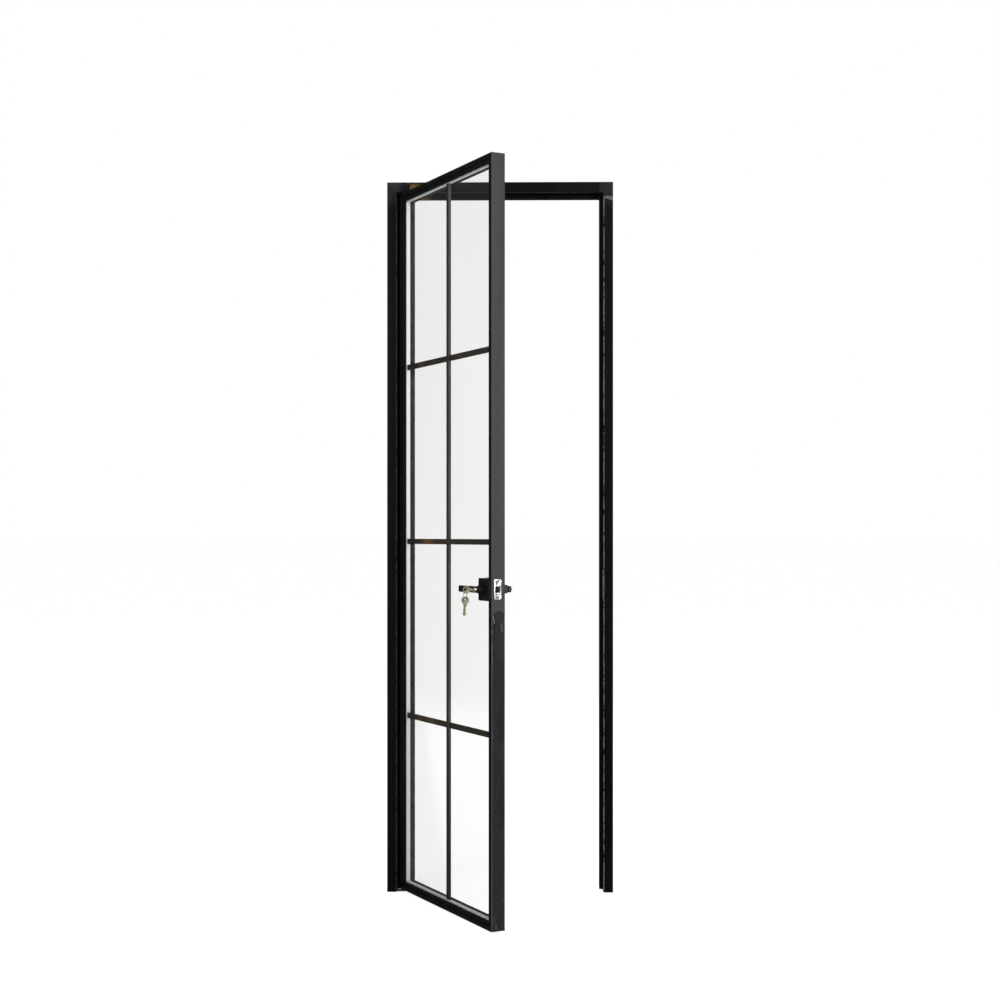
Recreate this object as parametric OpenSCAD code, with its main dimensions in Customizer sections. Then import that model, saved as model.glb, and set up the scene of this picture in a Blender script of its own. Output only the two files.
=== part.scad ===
// Glazed single-leaf door with its three-sided frame, leaf shown standing open.
// X runs along the wall, -Y is the side the leaf opens to, Z is up from the floor.
// The origin is the foot of the hinge jamb, on its wall face and its front face.

/* [Frame] */
// Overall width over both jambs
frame_w = 700; // [560:5:1100]
// Overall height from the floor to the top of the head
frame_h = 2200; // [1900:10:2700]
// Depth of the jambs and the head, front to back
frame_d = 80; // [75:1:120]
// Width of the front face of the jambs and the head
face_w = 30; // [26:1:45]
// How far the stop stands into the opening past the front face
stop_out = 10; // [8:1:14]
// Wall thickness of the frame extrusions
frame_wall = 1.8; // [1.4:0.1:2.2]
// Round on the inner front edge of the frame
edge_round = 3; // [1:0.5:5]

/* [Leaf] */
// Thickness of the leaf
leaf_t = 42; // [40:1:52]
// Gap between the leaf and the frame on the sides and top
edge_gap = 4; // [3.5:0.5:6]
// Gap under the leaf
floor_gap = 8; // [8:1:14]
// Width of the outer flat of the stiles and rails
tube_w = 12.5; // [12:0.5:20]
// Width of the glazing bead beside that flat
bead_w = 12.5; // [11:0.5:16]
// How far the bead lies back from the outer flat
bead_step = 4; // [4:0.5:8]
// Wall thickness of the leaf extrusions
leaf_wall = 1.8; // [1.4:0.1:2.2]
// Angle at which the leaf stands open
open_angle = 62; // [0:1:90]

/* [Glazing] */
// Thickness of each pane
pane_t = 5; // [4:0.5:6]
// Cavity between the panes
cavity = 12; // [11:1:14]
// Face width of the bars between the panes
bar_face = 16; // [12:1:26]
// Depth of the bars between the panes
bar_d = 8; // [6:1:9]

/* [Pivots] */
// Distance from the hinge edge of the leaf to the pivot axis
pivot_in = 18; // [17:0.5:20]
// Distance from the front face of the leaf to the pivot axis
pivot_back = 8; // [7.5:0.25:8.5]
// Diameter of the pivot pins
pin_d = 9; // [8:0.5:9]

/* [Lock] */
// Height of the lever spindle above the floor
lock_z = 955; // [850:5:1050]
// Distance from the leaf edge to the lever spindle
backset = 34; // [33:0.5:38]
// Side of the square roses
rose_w = 63; // [60:1:68]
// Thickness of the roses
rose_t = 8; // [7:0.5:9]
// Height of the lever bar
lever_h = 18; // [17:0.5:20]
// Length of the lever from the spindle axis to its tip
lever_len = 111; // [90:1:125]
// How far the lever's outer face stands off the leaf
lever_out = 31; // [29:0.5:34]
// Height of the latch faceplate
plate_h = 57; // [56:1:62]
// Width of the latch faceplate
plate_w = 25; // [24:0.5:26]
// How far the latch bolt stands out of the faceplate
bolt_out = 10.5; // [9:0.5:11.5]

/* [Keys] */
// Diameter of the round key bow
bow_d = 22; // [20:0.5:24]
// Length of the key blade
blade_len = 28; // [26:0.5:29]
// Mean diameter of the key ring
ring_d = 22; // [20:0.5:26]

/* [Hidden] */
$fn = 48;
e = 0.01;
fit = 0.1;
mitre_gap = 0.05;

// frame
inner_face = face_w + stop_out;
seal_room = 4.5;
stop_y = leaf_t + seal_room;
stop_wall = 4;
groove_w = 3.2;
groove_d = 2.4;
groove_in = face_w + 4;

// leaf, closed, before it is swung open
x0 = face_w + edge_gap;
x1 = frame_w - face_w - edge_gap;
z0 = floor_gap;
z1 = frame_h - face_w - edge_gap;
leaf_w = x1 - x0;
leaf_h = z1 - z0;
sight = tube_w + bead_w;
pivot_x = x0 + pivot_in;
relief = 3;

// glass unit
block_t = 3.5;
glass_in = tube_w + block_t;
reveal = 4.5;
glass_y = bead_step + reveal;
unit_t = 2 * pane_t + cavity;
back_gap = 4;
flange_y = glass_y + unit_t + back_gap;
flange_t = leaf_t - flange_y;
spacer_in = 3;
spacer_w = sight + 0.5 - glass_in - spacer_in;
bar_y = glass_y + pane_t + (cavity - bar_d) / 2;
bar_wall = 1;
lite_pitch = leaf_h / 4;

// lock
lock_x = x1 - backset;
mid_y = leaf_t / 2;
case_d = 24;
box_half = case_d / 2 + 10;
box_end = backset + 20;
box_wall = 2;
glass_clear = 2;
bolt_h = 17;
bolt_w = 12;
boss_d = 18;
neck_d = 24;
strike_h = 90;
spindle_w = 8;
rose_bolt_z = box_half - 4.5;
rose_bolt_d = 3.5;
bar_t = 8;
cylinder_d = 15;
plug_d = 10;
nose = lever_out + 6;
key_stand = lever_out + 15;
slot_w = 2.6;
slot_h = 8;
key_t = 2.2;
bow_l = 25;
ring_hole = 6;
hole_in = 7;
ring_wire = 1.6;
hang = ring_hole / 2 - ring_wire / 2 - 0.4;
spare_step = 1.5;
film_top = lock_z - 56;

// ---------- helpers ----------

// Draws its children, modelled on the closed leaf, at the angle where the leaf stands
module on_leaf()
    translate([pivot_x, pivot_back, 0])
        rotate([0, 0, -open_angle])
            translate([-pivot_x, -pivot_back, 0])
                children();

// Extrudes a face drawn in X and Z from y to y + depth
module face_plate(y, depth)
    translate([0, y + depth, 0])
        rotate([90, 0, 0])
            linear_extrude(depth)
                children();

// Sections have X across the member, from its outer edge inward, and Y front to back
module run_up(x, bottom, length)
    translate([x, 0, bottom])
        linear_extrude(length)
            children();

module run_up_mirrored(x, bottom, length)
    translate([x, 0, bottom])
        mirror([1, 0, 0])
            linear_extrude(length)
                children();

module run_across_top(x, top, length)
    translate([x, 0, top])
        rotate([0, 90, 0])
            linear_extrude(length)
                children();

module run_across_bottom(x, bottom, length)
    translate([x, 0, bottom])
        mirror([0, 0, 1])
            rotate([0, 90, 0])
                linear_extrude(length)
                    children();

// Trapezoids that cut the ends of a member of a rectangle at 45 degrees
module mitre_side(xa, za, zb, width, direction)
    polygon([
        [xa, za + mitre_gap],
        [xa + direction * width, za + width + mitre_gap],
        [xa + direction * width, zb - width - mitre_gap],
        [xa, zb - mitre_gap]
    ]);

module mitre_across(xa, xb, za, height, direction)
    polygon([
        [xa + mitre_gap, za],
        [xa + height + mitre_gap, za + direction * height],
        [xb - height - mitre_gap, za + direction * height],
        [xb - mitre_gap, za]
    ]);

// Cylinders along Y and along X, centred on the axis given
module bore_y(x, z, d, from, to)
    translate([x, to, z])
        rotate([90, 0, 0])
            cylinder(d = d, h = to - from);

module bore_x(y, z, d, from, to)
    translate([from, y, z])
        rotate([0, 90, 0])
            cylinder(d = d, h = to - from);

// Countersunk screw along +X with its head's flat end at x = 0
module screw_x(head_d, head_h, shank_d, length) {
    rotate([0, 90, 0])
        cylinder(d1 = head_d, d2 = shank_d, h = head_h);
    translate([head_h - e, 0, 0])
        rotate([0, 90, 0])
            cylinder(d = shank_d, h = length - head_h);
}

// Square plate with rounded corners, drawn flat
module rounded_square(w, h, r)
    union() {
        square([w - 2 * r, h], center = true);
        square([w, h - 2 * r], center = true);
        for (sx = [-1, 1], sz = [-1, 1])
            translate([sx * (w / 2 - r), sz * (h / 2 - r)])
                circle(r = r);
    }

// Round wire wound into a coil about Z
module coil(mean_r, wire, pitch, turns) {
    steps = 20;
    sides = 8;
    count = steps * turns;
    points = [
        for (i = [0:count], k = [0:sides - 1])
            let (a = 360 * i / steps, b = 360 * k / sides, r = mean_r + wire / 2 * cos(b))
            [r * cos(a), r * sin(a), pitch * i / steps + wire / 2 * sin(b)]
    ];
    walls = [
        for (i = [0:count - 1], k = [0:sides - 1])
            let (n = (k + 1) % sides)
            [i * sides + k, i * sides + n, (i + 1) * sides + n, (i + 1) * sides + k]
    ];
    start = [for (k = [sides - 1:-1:0]) k];
    end = [for (k = [0:sides - 1]) count * sides + k];
    polyhedron(points, concat([start], walls, [end]), convexity = 6);
}

// ---------- frame ----------

fixing_d = 6.5;
access_d = 12;
fixing_y = stop_y / 2;
// the middle screw stays clear of the strike plate
fixing_heights = [0.1 * frame_h, max(0.5 * frame_h, lock_z + strike_h / 2 + access_d), 0.9 * frame_h];

module frame_section()
    difference() {
        union() {
            translate([0, edge_round])
                square([face_w, frame_d - edge_round]);
            square([face_w - edge_round, edge_round + e]);
            translate([face_w - edge_round, edge_round])
                circle(r = edge_round);
            translate([0, stop_y])
                square([inner_face, frame_d - stop_y]);
        }
        translate([frame_wall, frame_wall])
            square([face_w - 2 * frame_wall, stop_y - frame_wall]);
        translate([frame_wall, stop_y + stop_wall])
            square([inner_face - 2 * frame_wall, frame_d - stop_y - stop_wall - frame_wall]);
        translate([groove_in, stop_y - e])
            square([groove_w, groove_d]);
    }

module seal_section(reach)
    union() {
        translate([groove_in + 0.1, stop_y - e])
            square([groove_w - 0.2, groove_d - 0.1]);
        translate([groove_in - 1, stop_y - reach])
            square([groove_w + 2, reach]);
    }

module jamb_fixings()
    for (z = fixing_heights) {
        bore_x(fixing_y, z, fixing_d, -1, face_w / 2);
        bore_x(fixing_y, z, access_d, face_w / 2, face_w + 1);
    }

pivot_screw_y = 12;
pivot_screw_heights = [24, 44];
top_screw_places = [pivot_x - 8, pivot_x + 26];

module hinge_jamb()
    color([0.07, 0.07, 0.075])
        difference() {
            intersection() {
                run_up(0, 0, frame_h)
                    frame_section();
                face_plate(-1, frame_d + 2)
                    mitre_side(0, -inner_face, frame_h, inner_face, 1);
            }
            jamb_fixings();
            // the pivot arm leaves the jamb through this notch
            translate([face_w - frame_wall - 1, frame_wall, -1])
                cube([frame_wall + 2, arm_w + 0.8, arm_z + arm_t + 1.7]);
            for (z = pivot_screw_heights)
                translate([face_w + e, pivot_screw_y, z])
                    mirror([1, 0, 0])
                        screw_x(10, 2, 5.4, 6);
        }

module lock_jamb()
    color([0.07, 0.07, 0.075])
        difference() {
            translate([frame_w, 0, 0])
                mirror([1, 0, 0])
                    difference() {
                        intersection() {
                            run_up(0, 0, frame_h)
                                frame_section();
                            face_plate(-1, frame_d + 2)
                                mitre_side(0, -inner_face, frame_h, inner_face, 1);
                        }
                        jamb_fixings();
                    }
            // mouth for the latch bolt and holes for the strike screws
            translate([frame_w - face_w - 1, mid_y - strike_mouth_w / 2, lock_z - strike_mouth_h / 2])
                cube([frame_wall + 2, strike_mouth_w, strike_mouth_h]);
            for (s = [-1, 1])
                bore_x(mid_y, lock_z + s * strike_screw_z, 3.4, frame_w - face_w - 1, frame_w - face_w + 3);
        }

module head()
    color([0.08, 0.08, 0.085])
        difference() {
            intersection() {
                run_across_top(0, frame_h, frame_w)
                    frame_section();
                face_plate(-1, frame_d + 2)
                    mitre_across(0, frame_w, frame_h, inner_face, -1);
            }
            translate([pivot_x, pivot_back, frame_h - face_w - 1])
                cylinder(d = pin_d + 1, h = frame_wall + 2);
            for (x = top_screw_places)
                translate([x, pivot_screw_y, frame_h - face_w - e])
                    rotate([0, -90, 0])
                        screw_x(9, 1.8, 5, 6);
        }

cleat_arm = 90;
cleat_play = 0.2;

module frame_cleat() {
    a = frame_wall + cleat_play;
    w = inner_face - 2 * a;
    face_plate(stop_y + stop_wall + 3, frame_d - stop_y - stop_wall - frame_wall - 6)
        polygon([
            [a, frame_h - a], [cleat_arm, frame_h - a], [cleat_arm, frame_h - a - w],
            [a + w, frame_h - a - w], [a + w, frame_h - cleat_arm], [a, frame_h - cleat_arm]
        ]);
}

module frame_corner_cleats()
    color([0.75, 0.76, 0.78]) {
        frame_cleat();
        translate([frame_w, 0, 0])
            mirror([1, 0, 0])
                frame_cleat();
    }

// The hinge side seal is shallower, where the edge of the leaf rolls past it
hinge_reach = seal_room - 1.7;
seal_reach = seal_room - 0.6;
seal_foot = 14;

module hinge_seal()
    color([0.03, 0.03, 0.03])
        run_up(0, seal_foot, frame_h - inner_face - seal_foot - 1)
            seal_section(hinge_reach);

module lock_seal()
    color([0.03, 0.03, 0.03])
        run_up_mirrored(frame_w, 2, frame_h - inner_face - 3)
            seal_section(seal_reach);

module head_seal()
    color([0.03, 0.03, 0.03])
        run_across_top(pivot_x + 16, frame_h, frame_w - pivot_x - 16 - inner_face)
            seal_section(seal_reach);

module fixing_caps()
    color([0.05, 0.05, 0.05])
        for (z = fixing_heights) {
            bore_x(fixing_y, z, access_d - 0.04, face_w - 1.6, face_w - e);
            bore_x(fixing_y, z, access_d - 0.04, frame_w - face_w + e, frame_w - face_w + 1.6);
        }

// ---------- pivots ----------

arm_z = 1.5;
arm_t = 5;
arm_r = 7.5;
arm_w = 13.6;
foot_d = 22;
foot_h = 60;
pivot_bore = 5;
pivot_bore_from = 8;
washer_t = 1.1;
top_block_l = 46;
top_block_w = 17;
top_block_h = 18;
top_block_in = 13;
top_bore = 4.6;
top_bore_h = 14;
pivot_screw_l = 20;
top_screw_l = 13;
socket_l = 40;
socket_w = 15.5;
jamb_room = frame_wall + 0.2;
pin_foot = arm_z + 0.5;
pin_end = tube_w - leaf_wall - 0.6;
top_block_z = frame_h - face_w + frame_wall;

module bottom_pivot_arm()
    color([0.42, 0.43, 0.45])
        difference() {
            union() {
                translate([0, 0, arm_z])
                    linear_extrude(arm_t)
                        union() {
                            translate([jamb_room, jamb_room])
                                square([face_w + 1 - jamb_room, arm_w]);
                            translate([face_w + 0.5, pivot_back - arm_r])
                                square([pivot_x - face_w - 0.5, 2 * arm_r]);
                            translate([pivot_x, pivot_back])
                                circle(r = arm_r);
                        }
                translate([jamb_room, jamb_room, arm_z])
                    cube([face_w - 2 * jamb_room, foot_d, foot_h]);
            }
            translate([pivot_x, pivot_back, 0])
                cylinder(d = pin_d, h = 20);
            for (z = pivot_screw_heights)
                bore_x(pivot_screw_y, z, pivot_bore, pivot_bore_from, face_w);
        }

module bottom_pivot_pin()
    color([0.78, 0.78, 0.8])
        translate([pivot_x, pivot_back, pin_foot])
            cylinder(d = pin_d, h = z0 + pin_end - pin_foot);

module thrust_washer()
    color([0.72, 0.6, 0.3])
        translate([pivot_x, pivot_back, arm_z + arm_t])
            difference() {
                cylinder(r = arm_r, h = washer_t);
                translate([0, 0, -1])
                    cylinder(d = pin_d + 0.2, h = washer_t + 2);
            }

module top_pivot_block()
    color([0.42, 0.43, 0.45])
        difference() {
            translate([pivot_x - top_block_in, jamb_room, top_block_z])
                cube([top_block_l, top_block_w, top_block_h]);
            translate([pivot_x, pivot_back, top_block_z - 1])
                cylinder(d = pin_d, h = top_block_h + 2);
            for (x = top_screw_places)
                translate([x, pivot_screw_y, top_block_z - 1])
                    cylinder(d = top_bore, h = top_bore_h);
        }

module top_pivot_pin()
    color([0.78, 0.78, 0.8])
        translate([pivot_x, pivot_back, z1 - pin_end])
            cylinder(d = pin_d, h = top_block_z + top_block_h - 1 - (z1 - pin_end));

module pivot_screws()
    color([0.6, 0.61, 0.63]) {
        for (z = pivot_screw_heights)
            translate([face_w - 0.1, pivot_screw_y, z])
                mirror([1, 0, 0])
                    screw_x(9.4, 1.8, pivot_bore - 0.1, pivot_screw_l);
        for (x = top_screw_places)
            translate([x, pivot_screw_y, frame_h - face_w + 0.1])
                rotate([0, -90, 0])
                    screw_x(8.4, 1.6, top_bore - 0.1, top_screw_l);
    }

// Steel block inside a rail, bored for the pin
module pivot_socket(z)
    difference() {
        translate([x0 + tube_w, leaf_wall + 0.1, z])
            cube([socket_l, socket_w, tube_w - 2 * leaf_wall]);
        translate([pivot_x, pivot_back, z - 1])
            cylinder(d = pin_d + fit, h = tube_w + 2);
    }

module bottom_pivot_socket()
    color([0.5, 0.5, 0.52])
        on_leaf()
            pivot_socket(z0 + leaf_wall);

module top_pivot_socket()
    color([0.5, 0.5, 0.52])
        on_leaf()
            pivot_socket(z1 - tube_w + leaf_wall);

// ---------- strike ----------

strike_t = 1.5;
strike_w = 28;
strike_mouth_h = bolt_h + 3;
strike_mouth_w = bolt_w + 2.4;
strike_screw_z = 34;

module strike_plate()
    color([0.74, 0.74, 0.75])
        translate([frame_w - face_w - strike_t, 0, 0])
            difference() {
                translate([0, mid_y - strike_w / 2, lock_z - strike_h / 2])
                    cube([strike_t, strike_w, strike_h]);
                translate([-1, mid_y - strike_mouth_w / 2, lock_z - strike_mouth_h / 2])
                    cube([strike_t + 2, strike_mouth_w, strike_mouth_h]);
                for (s = [-1, 1])
                    translate([-e, mid_y, lock_z + s * strike_screw_z])
                        screw_x(7.2, 1.4, 3.8, 3);
            }

module strike_screws()
    color([0.7, 0.7, 0.72])
        for (s = [-1, 1])
            translate([frame_w - face_w - strike_t + 0.1, mid_y, lock_z + s * strike_screw_z])
                screw_x(6.8, 1.3, 3.4, 14);

// ---------- leaf profiles ----------

hook = 0.8;
bead_wall = 1.6;
leg_y = glass_y + 5;

module leaf_section()
    difference() {
        union() {
            square([tube_w, leaf_t]);
            translate([0, flange_y])
                square([sight, flange_t]);
        }
        translate([leaf_wall, leaf_wall])
            square([tube_w - 2 * leaf_wall, leaf_t - 2 * leaf_wall]);
        translate([tube_w, flange_y + 1.4])
            square([bead_w - 1.6, flange_t - 2.8]);
        translate([tube_w - hook - 0.1, bead_step + 3])
            square([hook + 1, 2]);
    }

module bead_section()
    union() {
        translate([tube_w, bead_step])
            square([bead_w, bead_wall]);
        translate([tube_w, bead_step])
            square([bead_wall, leg_y - bead_step]);
        translate([sight - bead_wall, bead_step])
            square([bead_wall, 2.2]);
        translate([tube_w - hook, bead_step + 3.2])
            square([hook + e, 1.6]);
    }

// Vertical cut on the hinge side back corner, which rolls past the stop
module hinge_relief()
    translate([x0, leaf_t, z0 - 1])
        linear_extrude(leaf_h + 2)
            polygon([[-1, -relief], [0, -relief], [relief, 0], [relief, 1], [-1, 1]]);

module box_room(play)
    translate([x1 - box_end - play, -1, lock_z - box_half - play])
        cube([box_end - tube_w + play + e, leaf_t + 2, 2 * (box_half + play)]);

module hinge_stile()
    color([0.09, 0.09, 0.095])
        on_leaf()
            difference() {
                intersection() {
                    run_up(x0, z0, leaf_h)
                        leaf_section();
                    face_plate(-1, leaf_t + 2)
                        mitre_side(x0, z0, z1, sight, 1);
                }
                hinge_relief();
            }

module lock_stile()
    color([0.1, 0.1, 0.105])
        on_leaf()
            difference() {
                intersection() {
                    run_up_mirrored(x1, z0, leaf_h)
                        leaf_section();
                    face_plate(-1, leaf_t + 2)
                        mitre_side(x1, z0, z1, sight, -1);
                }
                box_room(0.1);
                bore_x(mid_y, lock_z, case_d + fit, x1 - tube_w - 1, x1 + 1);
                translate([x1 - plate_t - 0.05, mid_y, lock_z])
                    rotate([90, 0, 90])
                        linear_extrude(plate_t + 1)
                            rounded_square(plate_w + 0.1, plate_h + 0.1, plate_round);
                for (s = [-1, 1])
                    bore_x(mid_y, lock_z + s * plate_screw_z, 3, x1 - 10, x1 + 1);
            }

module top_rail()
    color([0.09, 0.09, 0.095])
        on_leaf()
            difference() {
                intersection() {
                    run_across_top(x0, z1, leaf_w)
                        leaf_section();
                    face_plate(-1, leaf_t + 2)
                        mitre_across(x0, x1, z1, sight, -1);
                }
                hinge_relief();
                translate([pivot_x, pivot_back, z1 - leaf_wall - 1])
                    cylinder(d = pin_d + 2, h = leaf_wall + 2);
            }

module bottom_rail()
    color([0.09, 0.09, 0.095])
        on_leaf()
            difference() {
                intersection() {
                    run_across_bottom(x0, z0, leaf_w)
                        leaf_section();
                    face_plate(-1, leaf_t + 2)
                        mitre_across(x0, x1, z0, sight, 1);
                }
                hinge_relief();
                translate([pivot_x, pivot_back, z0 - 1])
                    cylinder(d = pin_d + 2, h = leaf_wall + 2);
            }

leaf_cleat_arm = 42;

module leaf_cleat() {
    a = leaf_wall + 0.1;
    w = tube_w - 2 * a;
    face_plate(leaf_t - 18, 14)
        polygon([
            [a, a], [leaf_cleat_arm, a], [leaf_cleat_arm, a + w],
            [a + w, a + w], [a + w, leaf_cleat_arm], [a, leaf_cleat_arm]
        ]);
}

module leaf_corner_cleats()
    color([0.75, 0.76, 0.78])
        on_leaf() {
            translate([x0, 0, z0])
                leaf_cleat();
            translate([x1, 0, z0])
                mirror([1, 0, 0])
                    leaf_cleat();
            translate([x0, 0, z1])
                mirror([0, 0, 1])
                    leaf_cleat();
            translate([x1, 0, z1])
                mirror([0, 0, 1])
                    mirror([1, 0, 0])
                        leaf_cleat();
        }

// The beads meet at 45 degrees inside the tubes of the leaf
module bead_mitre_side(direction)
    mitre_side(direction > 0 ? x0 : x1, z0, z1, sight, direction);

module hinge_bead()
    color([0.06, 0.06, 0.065])
        on_leaf()
            intersection() {
                run_up(x0, z0, leaf_h)
                    bead_section();
                face_plate(-1, leaf_t + 2)
                    bead_mitre_side(1);
            }

module lock_bead(from, to)
    intersection() {
        run_up_mirrored(x1, z0, leaf_h)
            bead_section();
        face_plate(-1, leaf_t + 2)
            bead_mitre_side(-1);
        translate([x1 - sight - 1, -1, from])
            cube([sight + 2, leaf_t + 2, to - from]);
    }

module lock_bead_lower()
    color([0.06, 0.06, 0.065])
        on_leaf()
            lock_bead(z0, lock_z - box_half - 0.1);

module lock_bead_upper()
    color([0.06, 0.06, 0.065])
        on_leaf()
            lock_bead(lock_z + box_half + 0.1, z1);

module top_bead()
    color([0.06, 0.06, 0.065])
        on_leaf()
            intersection() {
                run_across_top(x0, z1, leaf_w)
                    bead_section();
                face_plate(-1, leaf_t + 2)
                    mitre_across(x0, x1, z1, sight, -1);
            }

module bottom_bead()
    color([0.06, 0.06, 0.065])
        on_leaf()
            intersection() {
                run_across_bottom(x0, z0, leaf_w)
                    bead_section();
                face_plate(-1, leaf_t + 2)
                    mitre_across(x0, x1, z0, sight, 1);
            }

// ---------- glazing ----------

// Rectangle inset from the leaf's edges, drawn in X and Z
module leaf_rect(inset)
    translate([x0 + inset, z0 + inset])
        square([leaf_w - 2 * inset, leaf_h - 2 * inset]);

// Outline of the glass unit, notched round the lock box and inset all round
module unit_outline(inset)
    difference() {
        leaf_rect(glass_in + inset);
        translate([x1 - box_end - glass_clear - inset, lock_z - box_half - glass_clear - inset])
            square([box_end + glass_clear, 2 * (box_half + glass_clear + inset)]);
    }

module gasket(outer, y, depth)
    difference() {
        face_plate(y, depth)
            difference() {
                leaf_rect(outer);
                leaf_rect(sight);
            }
        box_room(0.2);
    }

module front_gasket()
    color([0.02, 0.02, 0.02])
        on_leaf()
            union() {
                gasket(sight - bead_wall, bead_step + 2.2, reveal - 2.2);
                gasket(sight - 6, bead_step + 2.6, reveal - 2.6);
            }

module back_gasket()
    color([0.02, 0.02, 0.02])
        on_leaf()
            gasket(sight - 7, glass_y + unit_t, back_gap);

module front_pane()
    color([0.8, 0.88, 0.88, 0.35])
        on_leaf()
            face_plate(glass_y, pane_t)
                unit_outline(0);

module back_pane()
    color([0.8, 0.88, 0.88, 0.35])
        on_leaf()
            face_plate(glass_y + pane_t + cavity, pane_t)
                unit_outline(0);

module spacer_frame()
    color([0.8, 0.81, 0.82])
        on_leaf()
            face_plate(glass_y + pane_t, cavity)
                difference() {
                    unit_outline(spacer_in);
                    unit_outline(spacer_in + spacer_w);
                }

module edge_sealant()
    color([0.04, 0.04, 0.04])
        on_leaf()
            face_plate(glass_y + pane_t, cavity)
                difference() {
                    unit_outline(0.2);
                    unit_outline(spacer_in);
                }

bar_mid_x = (x0 + x1) / 2;
bar_top = leaf_h - 2 * (sight + 0.5);
function bar_level(i) = z0 + i * lite_pitch;

// Tube with its length along X, its face in X and Z, centred on the origin
module bar_tube(length)
    difference() {
        translate([-length / 2, 0, -bar_face / 2])
            cube([length, bar_d, bar_face]);
        translate([-length / 2 - 1, bar_wall, -bar_face / 2 + bar_wall])
            cube([length + 2, bar_d - 2 * bar_wall, bar_face - 2 * bar_wall]);
    }

module vertical_bar()
    color([0.12, 0.12, 0.12])
        on_leaf()
            difference() {
                translate([bar_mid_x, bar_y, (z0 + z1) / 2])
                    rotate([0, 90, 0])
                        bar_tube(bar_top);
                for (i = [1:3])
                    translate([bar_mid_x - bar_face, bar_y + bar_d / 2, bar_level(i) - bar_face / 2 - 0.05])
                        cube([2 * bar_face, bar_d, bar_face + 0.1]);
            }

module cross_bar(i)
    difference() {
        translate([bar_mid_x, bar_y, bar_level(i)])
            bar_tube(leaf_w - 2 * (sight + 0.5));
        translate([bar_mid_x - bar_face / 2 - 0.05, bar_y - 1, bar_level(i) - bar_face])
            cube([bar_face + 0.1, bar_d / 2 + 1, 2 * bar_face]);
    }

module lower_bar()
    color([0.12, 0.12, 0.12])
        on_leaf()
            cross_bar(1);

module middle_bar()
    color([0.12, 0.12, 0.12])
        on_leaf()
            cross_bar(2);

module upper_bar()
    color([0.12, 0.12, 0.12])
        on_leaf()
            cross_bar(3);

block_len = 80;

module setting_blocks()
    color([0.1, 0.25, 0.5])
        on_leaf()
            for (x = [x0 + 90, x1 - 90 - block_len], z = [z0 + tube_w, z1 - tube_w - block_t])
                translate([x, leg_y + 0.3, z])
                    cube([block_len, glass_y + unit_t - leg_y - 0.3, block_t]);

// ---------- latch ----------

plate_t = 2.5;
plate_round = 3;
plate_screw_z = plate_h / 2 - 6;
case_end = backset + 15;
channel_end = backset - 3;

module lock_box()
    color([0.07, 0.07, 0.07])
        on_leaf()
            difference() {
                translate([x1 - box_end, 0, lock_z - box_half])
                    cube([box_end - tube_w, leaf_t, 2 * box_half]);
                translate([x1 - box_end + box_wall, box_wall, lock_z - box_half + box_wall])
                    cube([box_end - tube_w, leaf_t - 2 * box_wall, 2 * (box_half - box_wall)]);
                bore_y(lock_x, lock_z, boss_d + 2, -1, leaf_t + 1);
                for (s = [-1, 1])
                    bore_y(lock_x, lock_z + s * rose_bolt_z, rose_bolt_d + 0.1, -1, leaf_t + 1);
            }

module latch_case()
    color([0.65, 0.66, 0.67])
        on_leaf()
            difference() {
                bore_x(mid_y, lock_z, case_d, x1 - case_end, x1 - plate_t);
                translate([x1 - channel_end, mid_y - bolt_w / 2 - 0.3, lock_z - bolt_h / 2 - 0.3])
                    cube([channel_end, bolt_w + 0.6, bolt_h + 0.6]);
                bore_y(lock_x, lock_z, 14, 0, leaf_t);
            }

module latch_faceplate()
    color([0.78, 0.78, 0.79])
        on_leaf()
            difference() {
                translate([x1 - plate_t, mid_y, lock_z])
                    rotate([90, 0, 90])
                        linear_extrude(plate_t)
                            rounded_square(plate_w, plate_h, plate_round);
                translate([x1 - plate_t - 1, mid_y - bolt_w / 2 - 0.3, lock_z - bolt_h / 2 - 0.3])
                    cube([plate_t + 2, bolt_w + 0.6, bolt_h + 0.6]);
                for (s = [-1, 1])
                    translate([x1 + e, mid_y, lock_z + s * plate_screw_z])
                        mirror([1, 0, 0])
                            screw_x(7.4, 2.2, 4, 5);
            }

module faceplate_screws()
    color([0.72, 0.72, 0.74])
        on_leaf()
            for (s = [-1, 1])
                translate([x1 - 0.1, mid_y, lock_z + s * plate_screw_z])
                    mirror([1, 0, 0])
                        screw_x(7, 2.1, 2.95, 9);

// The head of the bolt is bevelled on the side that meets the strike as the leaf closes
bolt_head = bolt_out + 6;
stem_d = 5;
stem_end = 16.5;

module latch_bolt()
    color([0.15, 0.15, 0.16])
        on_leaf()
            union() {
                translate([0, 0, lock_z - bolt_h / 2])
                    linear_extrude(bolt_h)
                        polygon([
                            [x1 + bolt_out - bolt_head, mid_y - bolt_w / 2],
                            [x1 + bolt_out, mid_y - bolt_w / 2],
                            [x1 + bolt_out, mid_y - bolt_w / 2 + 2],
                            [x1 + 0.6, mid_y + bolt_w / 2],
                            [x1 + bolt_out - bolt_head, mid_y + bolt_w / 2]
                        ]);
                bore_x(mid_y, lock_z, stem_d, x1 - stem_end, x1 + bolt_out - bolt_head + e);
            }

module latch_spring()
    color([0.6, 0.6, 0.62])
        on_leaf()
            translate([x1 + bolt_out - bolt_head - 0.5, mid_y, lock_z])
                rotate([0, -90, 0])
                    coil(stem_d / 2 + 1, 0.9, 2, 4);

// ---------- lever set ----------

recess_r = 14.5;

// The back rose is narrow, so that it stays clear of the stop when the leaf is shut
back_rose_w = 2 * (backset - stop_out - 6.5);

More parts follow.
